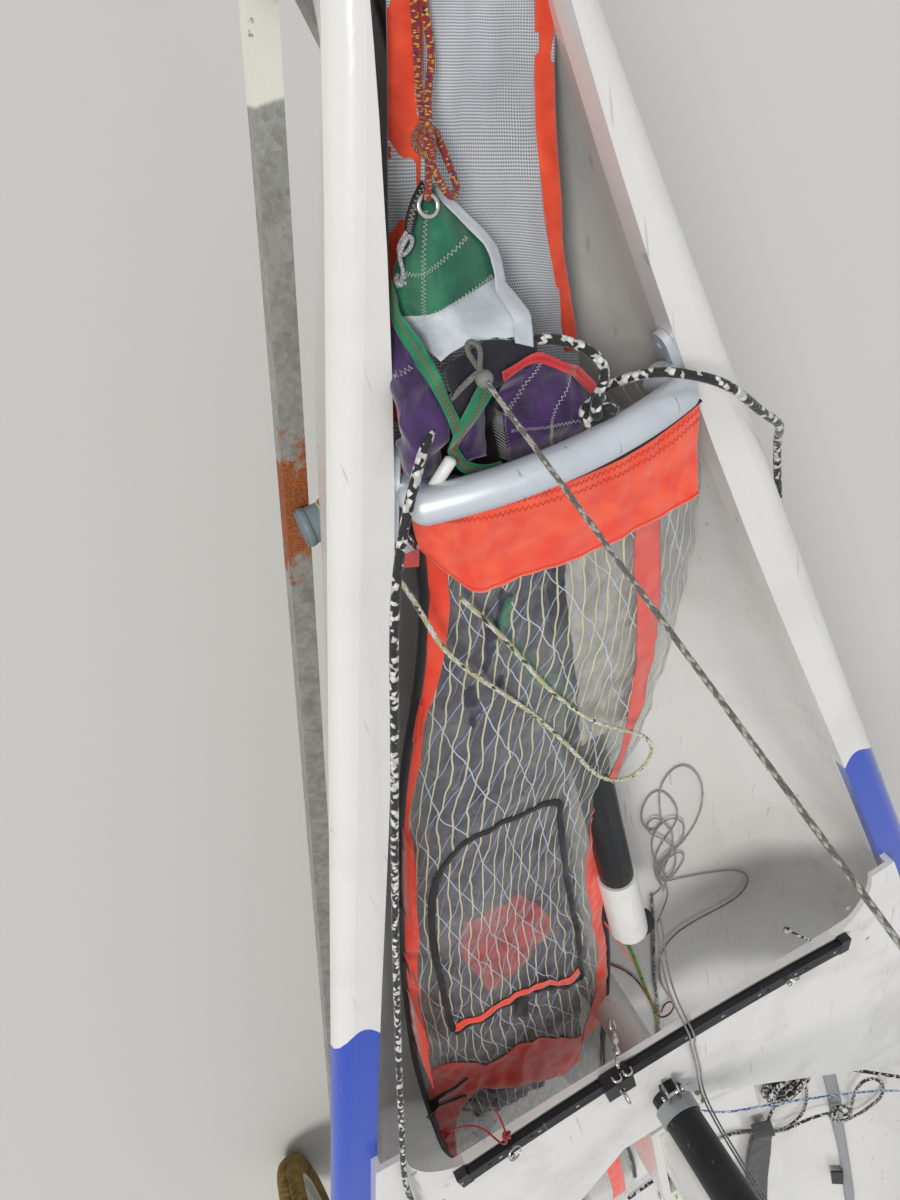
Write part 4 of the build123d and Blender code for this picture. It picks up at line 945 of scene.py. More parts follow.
tapes = (
    ("sail_luff_tape", HEAD_TAPE_ROWS, nylon_white, 1.2),
    ("sail_head_webbing", HEAD_WEBBING_ROWS, webbing_black, 2.4),
    ("sail_left_tape", LEFT_TAPE_ROWS, tape_green, 1.6),
    ("sail_fold_tape", FOLD_TAPE_ROWS, tape_green, 1.4),
    ("sail_red_tape", RED_TAPE_ROWS, tape_red, 1.6),
    ("sail_clew_webbing", END_WEBBING_ROWS, webbing_black, 3.0),
)
for label, rows, material, rise in tapes:
    lifted_rows = [[(x, y, z + rise) for x, y, z in row] for row in rows]
    tape = cloth(label, lifted_rows, material, 3.0, 0.8, 18.0, 0.9, 11)
    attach(tape, "boat")
hidden_run = [Vector(point) for point in SHEET_PORT_ROUTE[3:8]]
# The sheet starts out under the folds: where they pass over it, the cloth is raised to lie on it.
covers = [(piece, 7.5) for piece in sail_sheets]
covers += [(bpy.data.objects[label], 8.2 + rise) for label, rows, material, rise in tapes]
REACH_BESIDE, REACH_AHEAD = 34, 30
for piece, over_it in covers:
    for vertex in piece.data.vertices:
        spot = vertex.co * 1000
        best = None
        for a, b in zip(hidden_run, hidden_run[1:]):
            flat_run = Vector((b.x - a.x, b.y - a.y))
            share = Vector((spot.x - a.x, spot.y - a.y)).dot(flat_run) / flat_run.length_squared
            near = a.lerp(b, max(0.0, min(1.0, share)))
            away = Vector((near.x - spot.x, near.y - spot.y)).length
            if best is None or away < best[0]:
                best = (away, near)
        fade = max(0.0, 1 - (best[0] / REACH_BESIDE) ** 2)
        fade *= min(1.0, max(0.0, (best[1] - hidden_run[0]).length / REACH_AHEAD))
        need = best[1].z + over_it - spot.z
        if need > 0:
            vertex.co.z += need * min(1.0, 1.6 * fade) / 1000
GREEN_SEAMS_A = [(1885, 50, 745), (1853, 65, 755), (1823, 74, 760)]
GREEN_SEAMS_B = [(1860, 26, 745), (1854, 51, 755), (1850, 67, 755), (1853, 78, 748)]
GREEN_SEAMS_C = [(1829, 14, 750), (1826, 53, 762), (1820, 82, 758)]
PURPLE_SEAM_A = [(1769, 5, 770), (1737, 30, 770), (1721, 36, 768), (1683, 33, 755)]
PURPLE_SEAM_B = [(1744, -24, 772), (1724, 0, 778), (1705, 3, 775), (1683, -3, 765)]
PURPLE_SEAM_C = [(1699, -50, 768), (1715, 3, 778), (1718, 31, 768)]
LEFT_SEAM = [(1795, 109, 765), (1796, 104, 768), (1798, 96, 770)]
zigzag("stitch_green", [GREEN_SEAMS_A, GREEN_SEAMS_B, GREEN_SEAMS_C], thread_white, over=sail_sheets)
zigzag(
    "stitch_purple", [PURPLE_SEAM_A, PURPLE_SEAM_B, PURPLE_SEAM_C, LEFT_SEAM], thread_white,
    over=sail_sheets,
)


def middle_of(rows):
    """The line along the middle of a strip's control rows."""
    return [tuple(Vector(row[0]).lerp(Vector(row[-1]), 0.5)) for row in rows]


tape_tops = [bpy.data.objects[label] for label, rows, material, rise in tapes]
tape_runs = [middle_of(rows) for rows in (LEFT_TAPE_ROWS, FOLD_TAPE_ROWS, RED_TAPE_ROWS)]
zigzag("stitch_tapes", tape_runs, thread_orange, over=tape_tops)
webbing_runs = [middle_of(rows) for rows in (HEAD_WEBBING_ROWS, END_WEBBING_ROWS)]
zigzag("stitch_webbing", webbing_runs, thread_white, over=tape_tops)


# Brass and steel eyes pressed through the sail's corners, the halyard with its grey stopper ball and loop,
# and the red tack line, tied through the eye and led forward over the apron to the bowsprit.
WIRE_SIDES = 10


def ring(name, centre, radius, wire, tilt, material):
    """A round ring of wire; tilt turns it off level about X and Y, in degrees."""
    steps = 40
    places = []
    turn_it = Matrix.Rotation(radians(tilt[0]), 3, "X") @ Matrix.Rotation(radians(tilt[1]), 3, "Y")
    for step in range(steps):
        angle = 2 * pi * step / steps
        for round_step in range(WIRE_SIDES):
            bend = 2 * pi * round_step / WIRE_SIDES
            out_by = radius + wire * cos(bend)
            spot = Vector((out_by * cos(angle), out_by * sin(angle), wire * sin(bend)))
            places.append((Vector(centre) + turn_it @ spot) / 1000)
    return shell(name, places, round_faces(steps, WIRE_SIDES, closed=True), material)


def free_cord(
    name, route, diameter, material
):
    """A free line through route points in millimetres, attached to the boat."""
    cord = line(name, millimetres(route), diameter, material)
    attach(cord, "boat")


EYE_TACK, EYE_CLEW, BALL = (1888, 48, 742), (1689, -51, 765), (1779, 53, 790)
LOOP = [
    (1785, 54, 790), (1794, 58, 791), (1803, 61, 790), (1808, 59, 788), (1808, 55, 790), (1803, 52, 792),
    (1797, 54, 794), (1790, 56, 793),
]
LOOP_TAIL = [(1784, 55, 787), (1780, 62, 785), (1775, 69, 782), (1770, 76, 780), (1764, 84, 779)]
TACK_A = [
    (2020, 25, 744), (2001, 28, 742), (1976, 32, 740), (1954, 36, 740), (1938, 38, 741), (1927, 40, 744),
    (1916, 42, 746), (1903, 45, 746), (1892, 48, 744),
]
TACK_B = [
    (2019, 19, 744), (2000, 22, 742), (1981, 22, 740), (1969, 23, 740), (1958, 28, 740), (1948, 32, 741),
    (1937, 36, 746), (1928, 42, 750), (1916, 42, 749), (1903, 38, 745), (1889, 32, 741), (1887, 27, 740),
    (1893, 24, 740), (1905, 26, 740), (1924, 30, 741), (1932, 33, 744), (1934, 42, 749),
]
TACK_LOOP = [
    (1919, 43, 750), (1924, 49, 747), (1931, 48, 744), (1936, 42, 744), (1932, 37, 749), (1924, 39, 752),
    (1914, 42, 751),
]
LASHING = [
    (1878, 68, 746), (1874, 73, 745), (1868, 76, 742), (1864, 76, 744), (1866, 72, 748), (1871, 66, 748),
    (1877, 68, 750), (1873, 74, 750), (1864, 78, 746), (1854, 76, 744), (1847, 79, 742),
]
eye_steel = metal("eye_steel", tone(214, 214, 212), 0.2, 0.5)
eye_head = ring("eye_tack", EYE_TACK, 7.0, 1.7, (4, 12), eye_steel)
eye_copper = metal("eye_copper", tone(214, 110, 70), 0.3, 0.5)
eye_clew = ring("eye_clew", EYE_CLEW, 6.5, 1.6, (-8, 10), eye_copper)
halyard_rope = rope_finish("halyard_braid", tone(108, 108, 102), tone(176, 174, 164), 0.4, 3.5, 0.004)
halyard_foot, halyard_top = Vector(BALL), Vector((513, 0, 3448))
halyard_route = [halyard_foot, halyard_foot.lerp(halyard_top, 0.5), halyard_top]
halyard = line("spinnaker_halyard", millimetres(halyard_route), 0.004, halyard_rope)
free_cord("halyard_loop", LOOP + LOOP[:1], 0.004, halyard_rope)
free_cord("halyard_tail", LOOP_TAIL, 0.0045, halyard_rope)
BALL_RADIUS = 6.6
ball_angles = [radians(degrees) for degrees in range(-80, 81, 10)]
ball_profile = [(BALL_RADIUS * sin(a) / 1000, BALL_RADIUS * cos(a) / 1000) for a in ball_angles]
ball_grey = plastic("stopper_ball_grey", tone(128, 130, 130), 0.5, 0.6, tone(90, 90, 88))
ball = turned("halyard_ball", ball_profile, 32, [c / 1000 for c in BALL], ball_grey, axis="Z")
tack_rope = rope_finish(
    "tack_line_braid", tone(168, 26, 40), tone(238, 186, 60), 0.22, 1.2, 0.005, tone(44, 38, 96)
)
for piece in (eye_head, eye_clew, halyard, ball):
    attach(piece, "boat")
free_cord("tack_line_port", TACK_A, 0.005, tack_rope)
free_cord("tack_line_starboard", TACK_B, 0.005, tack_rope)
free_cord("tack_line_bight", TACK_LOOP, 0.005, tack_rope)
white_lashing = rope_finish("lashing_white", tone(222, 222, 224), tone(170, 170, 176), 0.4, 0.3, 0.003)
free_cord("sail_lashing", LASHING, 0.003, white_lashing)


# The chute's hoop is a bent aluminium tube on two moulded feet, with a bolt rope groove along its lower
# side. The orange flap slides in the groove, hems stitched in zigzag, and a screw holds its port corner.
FLAP_ROWS = [
    [(1695, 129, 776), (1693, 109, 783), (1687, 90, 784), (1677, 57, 785), (1670, 22, 785), (1665, -15, 784),
     (1664, -55, 783), (1671, -97, 782), (1681, -131, 780)],
    [(1680, 128, 770), (1666, 109, 772), (1651, 89, 772), (1644, 55, 774), (1637, 13, 775), (1634, -32, 776),
     (1635, -71, 776), (1641, -105, 776), (1649, -131, 775)],
    [(1665, 128, 766), (1638, 108, 764), (1614, 87, 762), (1610, 54, 765), (1603, 4, 768), (1604, -49, 769),
     (1607, -87, 771), (1612, -112, 772), (1617, -130, 772)],
    [(1650, 127, 764), (1610, 108, 757), (1577, 86, 754), (1576, 52, 758), (1569, -6, 762), (1572, -66, 765),
     (1577, -103, 768), (1581, -120, 770), (1584, -130, 771)],
]
flap_cloth = woven("orange_flap_cloth", tone(255, 96, 56), tone(244, 64, 34), 0.4, 3000.0, 0.5, worn=0.6)
flap = cloth("chute_flap_cloth", FLAP_ROWS, flap_cloth, 4.0, 3.2, 44.0, 1.4, 55, 0.8)
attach(flap, "boat")
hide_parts("chute_flap")


def between_rows(rows, share):
    """The line at a share from the first control row of a cloth to its last."""
    steps = len(rows[0])
    return [tuple(smooth_between([row[k] for row in rows], share)) for k in range(steps)]


binding = woven("binding_black", tone(26, 26, 29), tone(12, 12, 14), 0.6, 2600.0, 0.2, worn=0.2)
hem_thread = woven("hem_thread", tone(246, 84, 46), tone(206, 58, 30), worn=0.2)
hem_runs = [between_rows(FLAP_ROWS, 0.10), between_rows(FLAP_ROWS, 0.20)]
zigzag("stitch_flap_hem", hem_runs, hem_thread, 3.6, 4.4, 0.45, [flap], 1.2)
foot_run = [between_rows(FLAP_ROWS, 0.94)]
zigzag("stitch_flap_foot", foot_run, hem_thread, 1.0, 3.0, 0.4, [flap], 1.1)
rope_places = millimetres([(x + 1, y, z + 1.5) for x, y, z in FLAP_ROWS[0]])
bolt_rope = line("flap_bolt_rope", rope_places, 0.0032, binding)
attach(bolt_rope, "boat")


def screw_head(name, centre, radius, material, up=(0, 0, 1), dome=0.35):
    """A domed screw head with a cross recess, its face along a direction."""
    profile = [
        (0.00001, radius * dome), (radius * 0.55, radius * dome * 0.86), (radius * 0.9, radius * dome * 0.4)
    ]
    profile += [(radius, 0.0), (radius * 0.96, -0.0006), (0.00001, -0.0006)]
    places = []
    steps = 20
    turn_it = Vector((0, 0, 1)).rotation_difference(Vector(up)).to_matrix()
    for step in range(steps):
        angle = 2 * pi * step / steps
        for reach, height in profile:
            spot = Vector((reach * cos(angle), reach * sin(angle), height))
            cut = min(abs(cos(2 * angle)), 1)
            if reach < radius * 0.6 and cut > 0.93:
                spot.z -= radius * 0.3
            places.append(Vector(centre) / 1000 + turn_it @ spot)
    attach(shell(name, places, round_faces(steps, len(profile)), material), "boat")


screw_steel = metal("screw_steel", tone(206, 206, 204), 0.24, 0.5)
screw_head("flap_screw", (1689, 124, 778), 0.0062, screw_steel, (-0.3, 0.2, 1))
screw_head("hoop_rivet", (1686, -70, 802), 0.0034, white_moulded)


# The chute's sock is a long bag of clear laminate: yarns laid lengthwise and crossed between two films.
# Orange cloth bands and black binding are sewn along its edges, and the spinnaker shows through it.
SOCK_ROWS = [  # distance along, port edge, starboard edge and crown
    (1676, 118, -134, 755), (1600, 117, -178, 742), (1520, 130, -181, 724), (1440, 153, -173, 712),
    (1360, 183, -162, 702), (1270, 212, -137, 692), (1180, 235, -102, 682), (1080, 258, -51, 672),
    (980, 279, -36, 662), (870, 300, -21, 652), (760, 319, -21, 642), (650, 336, -17, 634),
    (550, 347, -6, 629), (450, 356, 10, 628), (350, 364, 29, 626), (290, 365, 36, 626), (180, 340, 44, 618),
    (60, 305, 44, 608), (-70, 262, 42, 604), (-200, 205, 24, 604), (-320, 166, 18, 602),
    (-430, 150, 20, 594),
]
SOCK_ACROSS = ((0.0, 26), (0.10, 13), (0.26, 3), (0.42, -1), (0.58, -1), (0.74, 3), (0.90, 13), (1.0, 26))
SOCK_UNDER = ((0.93, 52), (0.75, 78), (0.5, 84), (0.25, 78), (0.07, 52), (0.0, 26))
laminate, tree, shader = finish(
    "clear_laminate", Roughness=0.22, Coat_Weight=0.3, Coat_Roughness=0.1, IOR=1.48
)
place = in_metres(tree)
warp_noise = mottle(tree, place, 5.0, 3.0)
axes = xyz(tree, place)
twist = times(tree, minus(tree, warp_noise, 0.5), 0.06)
over_way = plus(tree, axes[0], twist)
along_way = axes[1]


def yarns(tree, value, pitch, share, blur):
    """A mask of parallel yarns: one each pitch, as wide as a share of it."""
    turn = put(tree, "ShaderNodeMath", {"operation": "FRACT"}, n0=sums(tree, "DIVIDE", value, pitch)).outputs[
        0
    ]
    off = sums(tree, "ABSOLUTE", minus(tree, turn, 0.5))
    return spread(tree, off, share + blur, share)


long_yarn = yarns(tree, over_way, 0.0165, 0.052, 0.02)
lean = times(tree, along_way, 0.46)
cross_a = yarns(tree, plus(tree, over_way, lean), 0.043, 0.011, 0.009)
cross_b = yarns(tree, minus(tree, over_way, lean), 0.051, 0.010, 0.008)
steep = times(tree, along_way, 0.21)
cross_c = yarns(tree, plus(tree, over_way, steep), 0.053, 0.007, 0.006)
frost = mottle(tree, place, 7.0, 7.0, Roughness=0.7)
crease = put(
    tree, "ShaderNodeTexNoise", {"noise_type": "RIDGED_MULTIFRACTAL"}, Vector=place, Scale=16.0, Detail=4.0
)
paint = blend_tone(tree, spread(tree, frost, 0.3, 0.7), tone(150, 153, 160), tone(204, 204, 200))
paint = blend_tone(tree, cross_c, paint, tone(170, 176, 196))
paint = blend_tone(tree, cross_a, paint, tone(176, 194, 232))
paint = blend_tone(tree, cross_b, paint, tone(208, 218, 236))
paint = blend_tone(tree, long_yarn, paint, tone(226, 220, 184))
yarn_any = sums(tree, "MAXIMUM", sums(tree, "MAXIMUM", cross_a, cross_b), long_yarn)
clouded = spread(tree, frost, 0.35, 0.75, 0.07, 0.24)
clouded = plus(tree, clouded, spread(tree, crease.outputs["Fac"], 1.2, 2.2, 0.0, 0.14))
cover = sums(tree, "MAXIMUM", clouded, times(tree, yarn_any, 0.72))
cover = sums(tree, "MAXIMUM", cover, times(tree, cross_c, 0.4))
feed(tree, shader, Base_Color=paint, Alpha=cover)
bump(tree, shader, plus(tree, crease.outputs["Fac"], times(tree, yarn_any, 0.4)), 0.5, 0.0016)


def sock_row(x, port, starboard, crown, profile):
    """A row across the sock: a profile of (share across, drop) between its two edges."""
    return [(x, port + (starboard - port) * share, crown - drop) for share, drop in profile]


def loosened(rows):
    """The same rows with a slow wave in their height, since the bag lies slack."""
    return [[(x, y, z + 3.0 * sin(x / 41.0 + y / 60.0)) for x, y, z in row] for row in rows]


sock_rows = [sock_row(*row, SOCK_ACROSS + SOCK_UNDER) for row in SOCK_ROWS]
sock = cloth("chute_sock_skin", loosened(sock_rows), laminate, 7.0, 4.5, 52.0, 0.4, 21)
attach(sock, "boat")
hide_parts("chute_sock")


def ribbon(name, path, width, material, over, rise=1.0, step=3.0, thick=0.8, seed=1):
    """A tape of one width laid on other pieces along a path in millimetres."""
    points = [Vector(point) for point in path]
    count = max(3, round(run_length(points) / 12))
    rows = []
    for index in range(count + 1):
        here, side = run_spot(points, index, count)
        rows.append([tuple(here - side * width / 2), tuple(here + side * width / 2)])
    return laid(name, rows, material, over, rise, step, thick, seed)


def laid(name, rows, material, over, rise=1.0, step=4.0, thick=0.8, seed=1):
    """A cloth whose every point lies on the pieces under it."""
    piece = cloth(name, rows, material, step, 0.0, 30.0, thick, seed)
    for vertex in piece.data.vertices:
        vertex.co = lifted(over, vertex.co * 1000, rise) / 1000
    return piece


def band_rows(table):
    """A band's rows from (along, outer edge, inner edge); laid gives them their height."""
    return [[(x, outer, 700), (x, inner, 700)] for x, outer, inner in table]


# Orange bands along both sides of the sock, with black binding over its edges, and the cloth at its foot.
PORT_BAND = [
    (1676, 107, 92), (1600, 117, 99), (1540, 125, 105), (1470, 142, 124), (1400, 168, 153),
    (1330, 193, 177), (1250, 217, 208), (1190, 233, 216), (1135, 247, 226), (1060, 262, 241),
    (985, 278, 256), (900, 294, 279), (820, 309, 292), (745, 321, 299), (670, 333, 309),
]
CLEAR_BAND = [
    (1660, -122, -89), (1600, -122, -89), (1540, -122, -89), (1470, -122, -89), (1400, -122, -91),
    (1330, -118, -91), (1260, -107, -81), (1195, -84, -67), (1130, -55, -40), (1085, -31, -11),
]
STARBOARD_BAND = [
    (1075, -29, -13), (1050, -32, -12), (1010, -34, -8), (960, -28, 0), (915, -22, 6), (870, -19, 7),
    (800, -18, 5), (740, -18, 3), (680, -16, 3), (620, -11, 12), (560, -4, 27), (500, 5, 50), (440, 16, 70),
]
FOOT_BAND = [
    [(629, 316, 623), (507, 351, 619)], [(624, 296, 622), (513, 322, 619)],
    [(611, 275, 621), (506, 300, 619)], [(586, 253, 621), (499, 277, 619)],
    [(558, 239, 620), (499, 264, 619)], [(562, 210, 620), (478, 239, 619)],
    [(569, 180, 620), (455, 210, 619)], [(559, 153, 620), (431, 180, 618)],
    [(547, 134, 620), (410, 158, 618)], [(521, 113, 620), (391, 134, 618)],
    [(481, 85, 619), (367, 109, 618)], [(465, 67, 619), (377, 84, 618)],
]
CORNER_BAND = [
    [(500, 350, 613), (504, 267, 619)], [(446, 352, 613), (474, 292, 619)],
    [(383, 356, 612), (436, 313, 618)], [(288, 361, 611), (385, 332, 618)],
    [(220, 360, 611), (330, 344, 617)],
]
AFT_BAND = [(-60, 96, 60), (-126, 92, 56), (-170, 90, 54), (-241, 90, 54), (-313, 91, 55), (-400, 95, 58)]
band_orange = woven("orange_band_cloth", tone(255, 82, 44), tone(250, 56, 30), 0.45, 3000.0, 0.5, worn=0.35)
band_faded = woven(
    "orange_band_seen_through_film", tone(240, 104, 92), tone(222, 84, 74), 0.4, 3000.0, 0.2, worn=0.6
)
bands = [
    laid("sock_band_port", band_rows(PORT_BAND), band_orange, [sock], 1.2),
    laid("sock_band_fore_starboard", band_rows(CLEAR_BAND), band_faded, [sock], 0.9),
    laid("sock_band_starboard", band_rows(STARBOARD_BAND), band_orange, [sock], 1.2),
    laid("sock_band_foot", FOOT_BAND, band_orange, [sock], 1.6),
    laid("sock_band_corner", CORNER_BAND, band_orange, [sock], 1.5),
    laid("sock_band_aft", band_rows(AFT_BAND), band_orange, [sock], 1.3),
]
port_edge = [(x, port, crown - 24) for x, port, starboard, crown in SOCK_ROWS]
starboard_edge = [(x, starboard, crown - 24) for x, port, starboard, crown in SOCK_ROWS if x < 1090]
for label, path in (("port", port_edge), ("starboard", starboard_edge)):
    bound = line("sock_binding_" + label, millimetres(path), 0.0105, binding)
    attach(bound, "boat")

# The hatch in the sock's top is edged with black tape; its foot has an orange hem and a pull tab.
HATCH_TAPE = [
    (717, 263, 634), (806, 256, 641), (899, 247, 649), (983, 238, 657), (1069, 220, 666), (1125, 203, 671),
    (1114, 205, 670), (1136, 195, 672), (1157, 178, 675), (1171, 155, 676), (1176, 125, 676),
    (1174, 95, 676), (1173, 65, 676), (1168, 48, 676), (1153, 31, 674), (1115, 35, 670), (1035, 37, 662),
    (909, 36, 650), (912, 36, 651), (831, 35, 643), (739, 37, 635), (643, 41, 628),
]
HATCH_FOOT = [
    (643, 41, 628), (648, 68, 628), (671, 82, 630), (692, 99, 632), (717, 127, 634), (727, 148, 634),
    (726, 179, 634), (720, 221, 634), (712, 262, 633),
]
HATCH_ORANGE = [
    [(687, 45, 631), (661, 43, 629)], [(691, 77, 632), (669, 76, 630)], [(730, 102, 635), (705, 99, 633)],
    [(746, 130, 636), (726, 127, 634)], [(752, 152, 636), (734, 151, 635)],
    [(747, 183, 636), (730, 180, 635)], [(741, 217, 636), (725, 221, 634)],
    [(737, 255, 635), (719, 261, 634)],
]
TAB = [[(734, 162, 635), (683, 171, 631)], [(716, 139, 634), (651, 148, 629)]]
STRAP_A = [(496, 360, 623), (511, 341, 623), (534, 307, 624), (552, 274, 624)]
STRAP_B = [(486, 360, 623), (492, 333, 623), (495, 308, 623), (497, 289, 623)]
bands += [
    ribbon("hatch_tape", HATCH_TAPE, 9.5, binding, [sock], 1.6),
    ribbon("hatch_foot_tape", HATCH_FOOT, 9.0, binding, [sock], 2.8),
    laid("hatch_hem", HATCH_ORANGE, band_orange, [sock], 3.2, 3.0),
    laid("hatch_tab", TAB, binding, [sock], 3.8, 3.0),
    ribbon("sock_strap_fore", STRAP_A, 8.0, binding, bands, 2.6),
    ribbon("sock_strap_aft", STRAP_B, 8.0, binding, bands, 2.2),
]
for piece in bands:
    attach(piece, "boat")

# The spinnaker inside the sock: a dark roll with a green fold, red cloth under the hatch, and the pale
# lining that lies empty beside it.
ROLL_ROWS = (
    (1660, 95, -18, 742), (1540, 97, -12, 720), (1466, 108, -10, 706), (1390, 138, -8, 696),
    (1295, 162, -14, 686), (1210, 182, -10, 677), (1105, 204, -1, 665), (950, 232, 11, 649),
    (825, 262, 13, 638), (690, 282, 12, 627), (560, 297, 30, 619), (466, 300, 48, 615), (360, 310, 60, 613),
)
GREEN_FOLD = [
    (1531, 44, 715), (1488, 58, 706), (1456, 48, 702), (1419, 38, 698), (1377, 22, 693), (1345, -2, 689),
    (1300, -4, 684), (1264, 0, 680), (1218, 14, 675),
]
RED_ROWS = [
    [(988, 188, 652), (990, 150, 652), (986, 108, 652)],
    [(930, 206, 646), (932, 150, 646), (926, 84, 646)],
    [(872, 206, 641), (872, 140, 641), (876, 72, 641)],
    [(818, 196, 636), (820, 140, 636), (826, 82, 636)],
    [(775, 192, 632), (782, 160, 632), (800, 122, 632)],
]
LINING_ROWS = [
    [(1660, -22, 735), (1655, -70, 733), (1650, -118, 724)],
    [(1560, -20, 716), (1560, -70, 712), (1558, -140, 700)],
    [(1440, -16, 700), (1440, -70, 698), (1440, -142, 684)],
    [(1330, -18, 686), (1330, -60, 684), (1330, -128, 672)],
    [(1230, -12, 674), (1230, -40, 672), (1230, -92, 664)],
]
roll_profile = ((0.0, 30), (0.12, 9), (0.35, -2), (0.6, 1), (0.85, 8), (1.0, 30))
roll_rows = [sock_row(*row, roll_profile) for row in ROLL_ROWS]
nylon_shadow = woven("nylon_in_shadow", tone(66, 62, 88), tone(24, 21, 36), 0.5, 5200.0, 0.4, 0.006, worn=0.9)
nylon_red = woven("nylon_red", tone(212, 66, 72), tone(160, 40, 50), 0.5, 5200.0, 0.4, 0.006)
lining_cloth = woven("sock_lining", tone(214, 210, 196), tone(172, 168, 158), 0.35, 3000.0, 0.2, worn=0.6)
roll = cloth("sail_in_sock", roll_rows, nylon_shadow, 6.0, 8.0, 36.0, 0.8, 31)
green_fold = ribbon("sail_green_fold", GREEN_FOLD, 17.0, nylon_green, [roll], 1.0)
red_fold = laid("sail_red_fold", RED_ROWS, nylon_red, [roll], 1.2)
lining = cloth("sock_lining", LINING_ROWS, lining_cloth, 5.0, 6.0, 30.0, 0.8, 41)
# The green fold's length is stretched to take up its draped area: the strip itself is cut 0.345 m long.
for piece, slot_name, flat, area, held, under in (
    (roll, "nylon_green", (0.292, 1.371), 0.31447, "gathered", "chute_sock_skin"),
    (green_fold, "nylon_green", (0.018, 0.472), 0.0084, "laid", "sail_in_sock"),
    (red_fold, "nylon_green", (0.138, 0.224), 0.0246, "laid", "sail_in_sock"),
    (lining, "sock_clear", (0.131, 0.448), 0.05207, "laid", "chute_sock_skin"),
):
    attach(piece, "boat")


# Control lines in the well: a thin grey line left in a tangle beside the pole, two grey lines led over the
# track and up the mast, and three more led aft along the floor. All are braided and lie where they fell.
TANGLE_ROUTE = [
    (600, -150, 537), (605, -174, 538), (638, -162, 539), (685, -158, 540), (721, -166, 541),
    (747, -184, 541), (769, -208, 542), (803, -215, 543), (845, -204, 545), (880, -188, 546),
    (890, -168, 547), (872, -152, 547), (844, -145, 545), (809, -149, 544), (786, -165, 543),
    (795, -182, 544), (833, -180, 545), (885, -182, 547), (916, -198, 549), (922, -222, 549),
    (897, -245, 548), (844, -263, 545), (789, -263, 543), (744, -249, 541), (712, -222, 541),
    (702, -198, 542), (692, -175, 542), (670, -162, 541), (636, -168, 540), (622, -187, 539),
    (639, -207, 539), (664, -222, 540), (692, -210, 542), (694, -188, 543), (671, -170, 542),
    (645, -163, 541), (624, -178, 540), (612, -202, 539), (584, -251, 538), (550, -305, 538),
    (523, -338, 540), (489, -353, 541), (456, -344, 540), (440, -318, 539), (443, -275, 539),
    (448, -224, 539), (442, -184, 539), (420, -158, 539), (382, -143, 539), (328, -138, 541),
    (279, -142, 542), (220, -156, 543),
]
TANGLE_UPPER_ROUTE = [
    (606, -168, 543), (628, -180, 543), (661, -172, 544), (715, -157, 545), (765, -156, 546),
    (797, -170, 547), (806, -196, 548), (777, -219, 547), (738, -221, 546), (712, -205, 545),
    (709, -181, 545), (690, -160, 544), (656, -163, 544), (636, -181, 543), (656, -197, 544),
    (693, -201, 545), (736, -191, 546), (771, -170, 547), (797, -153, 548), (823, -152, 548),
    (828, -168, 548), (801, -184, 547), (751, -200, 546), (704, -192, 545), (672, -174, 544),
    (632, -172, 543), (584, -180, 541), (553, -169, 540), (513, -150, 540),
]
grey_line = rope_finish("grey_line_braid", tone(146, 147, 147), tone(196, 196, 194), 0.35, 4.0, 0.003)
free_cord("tangle_line", TANGLE_ROUTE, 0.003, grey_line)
free_cord("tangle_line_upper", TANGLE_UPPER_ROUTE, 0.003, grey_line)
MAST_LINE = [
    (742, -92, 646), (733, -84, 666), (722, -70, 690), (712, -56, 720), (703, -48, 746), (694, -44, 772),
    (684, -43, 794), (662, -44, 799), (632, -46, 790), (596, -50, 785), (553, -54, 784), (510, -56, 785),
    (478, -54, 788), (462, -49, 806), (458, -44, 850), (460, -41, 912), (462, -39, 990), (464, -38, 1080),
    (466, -37, 1170), (467, -36, 1252),
]
free_cord("mast_line_fore", MAST_LINE, 0.003, grey_line)
second = [(x - 5, y - 9 + index * 0.25, z + 0.6) for index, (x, y, z) in enumerate(MAST_LINE)]
free_cord("mast_line_aft", second, 0.003, grey_line)
green_line = rope_finish("green_line_braid", tone(176, 226, 20), tone(96, 130, 30), 0.16, 1.1, 0.005)
speckled = rope_finish("speckled_braid", tone(186, 187, 186), tone(92, 94, 96), 0.42, 0.9, 0.006)
orange_line = rope_finish("orange_line_braid", tone(24, 22, 22), tone(226, 108, 40), 0.45, 0.5, 0.004)
GREEN_ROUTE = [
    (700, -62, 539), (640, -72, 539), (560, -80, 538), (490, -88, 538), (422, -96, 539), (331, -104, 541),
    (245, -112, 543), (160, -118, 546), (60, -116, 549), (-60, -110, 552), (-190, -104, 556),
    (-330, -98, 560), (-470, -92, 563), (-600, -87, 563), (-700, -84, 562), (-782, -82, 560),
]
GREY_ROUTE = [
    (610, -146, 540), (516, -144, 538), (407, -133, 539), (308, -126, 541), (203, -121, 546),
    (90, -108, 550), (-40, -88, 553), (-180, -70, 557), (-320, -56, 560), (-460, -46, 563),
    (-590, -40, 563), (-701, -35, 562),
]
ORANGE_ROUTE = [
    (488, -34, 538), (460, -45, 537), (427, -66, 538), (381, -85, 542), (324, -100, 547), (264, -108, 550),
    (214, -114, 553), (192, -128, 553), (188, -146, 551), (204, -158, 549), (228, -152, 548),
    (234, -136, 548), (218, -124, 552),
]
free_cord("green_line", GREEN_ROUTE, 0.005, green_line)
free_cord("speckled_line", GREY_ROUTE, 0.006, speckled)
free_cord("orange_line", ORANGE_ROUTE, 0.004, orange_line)

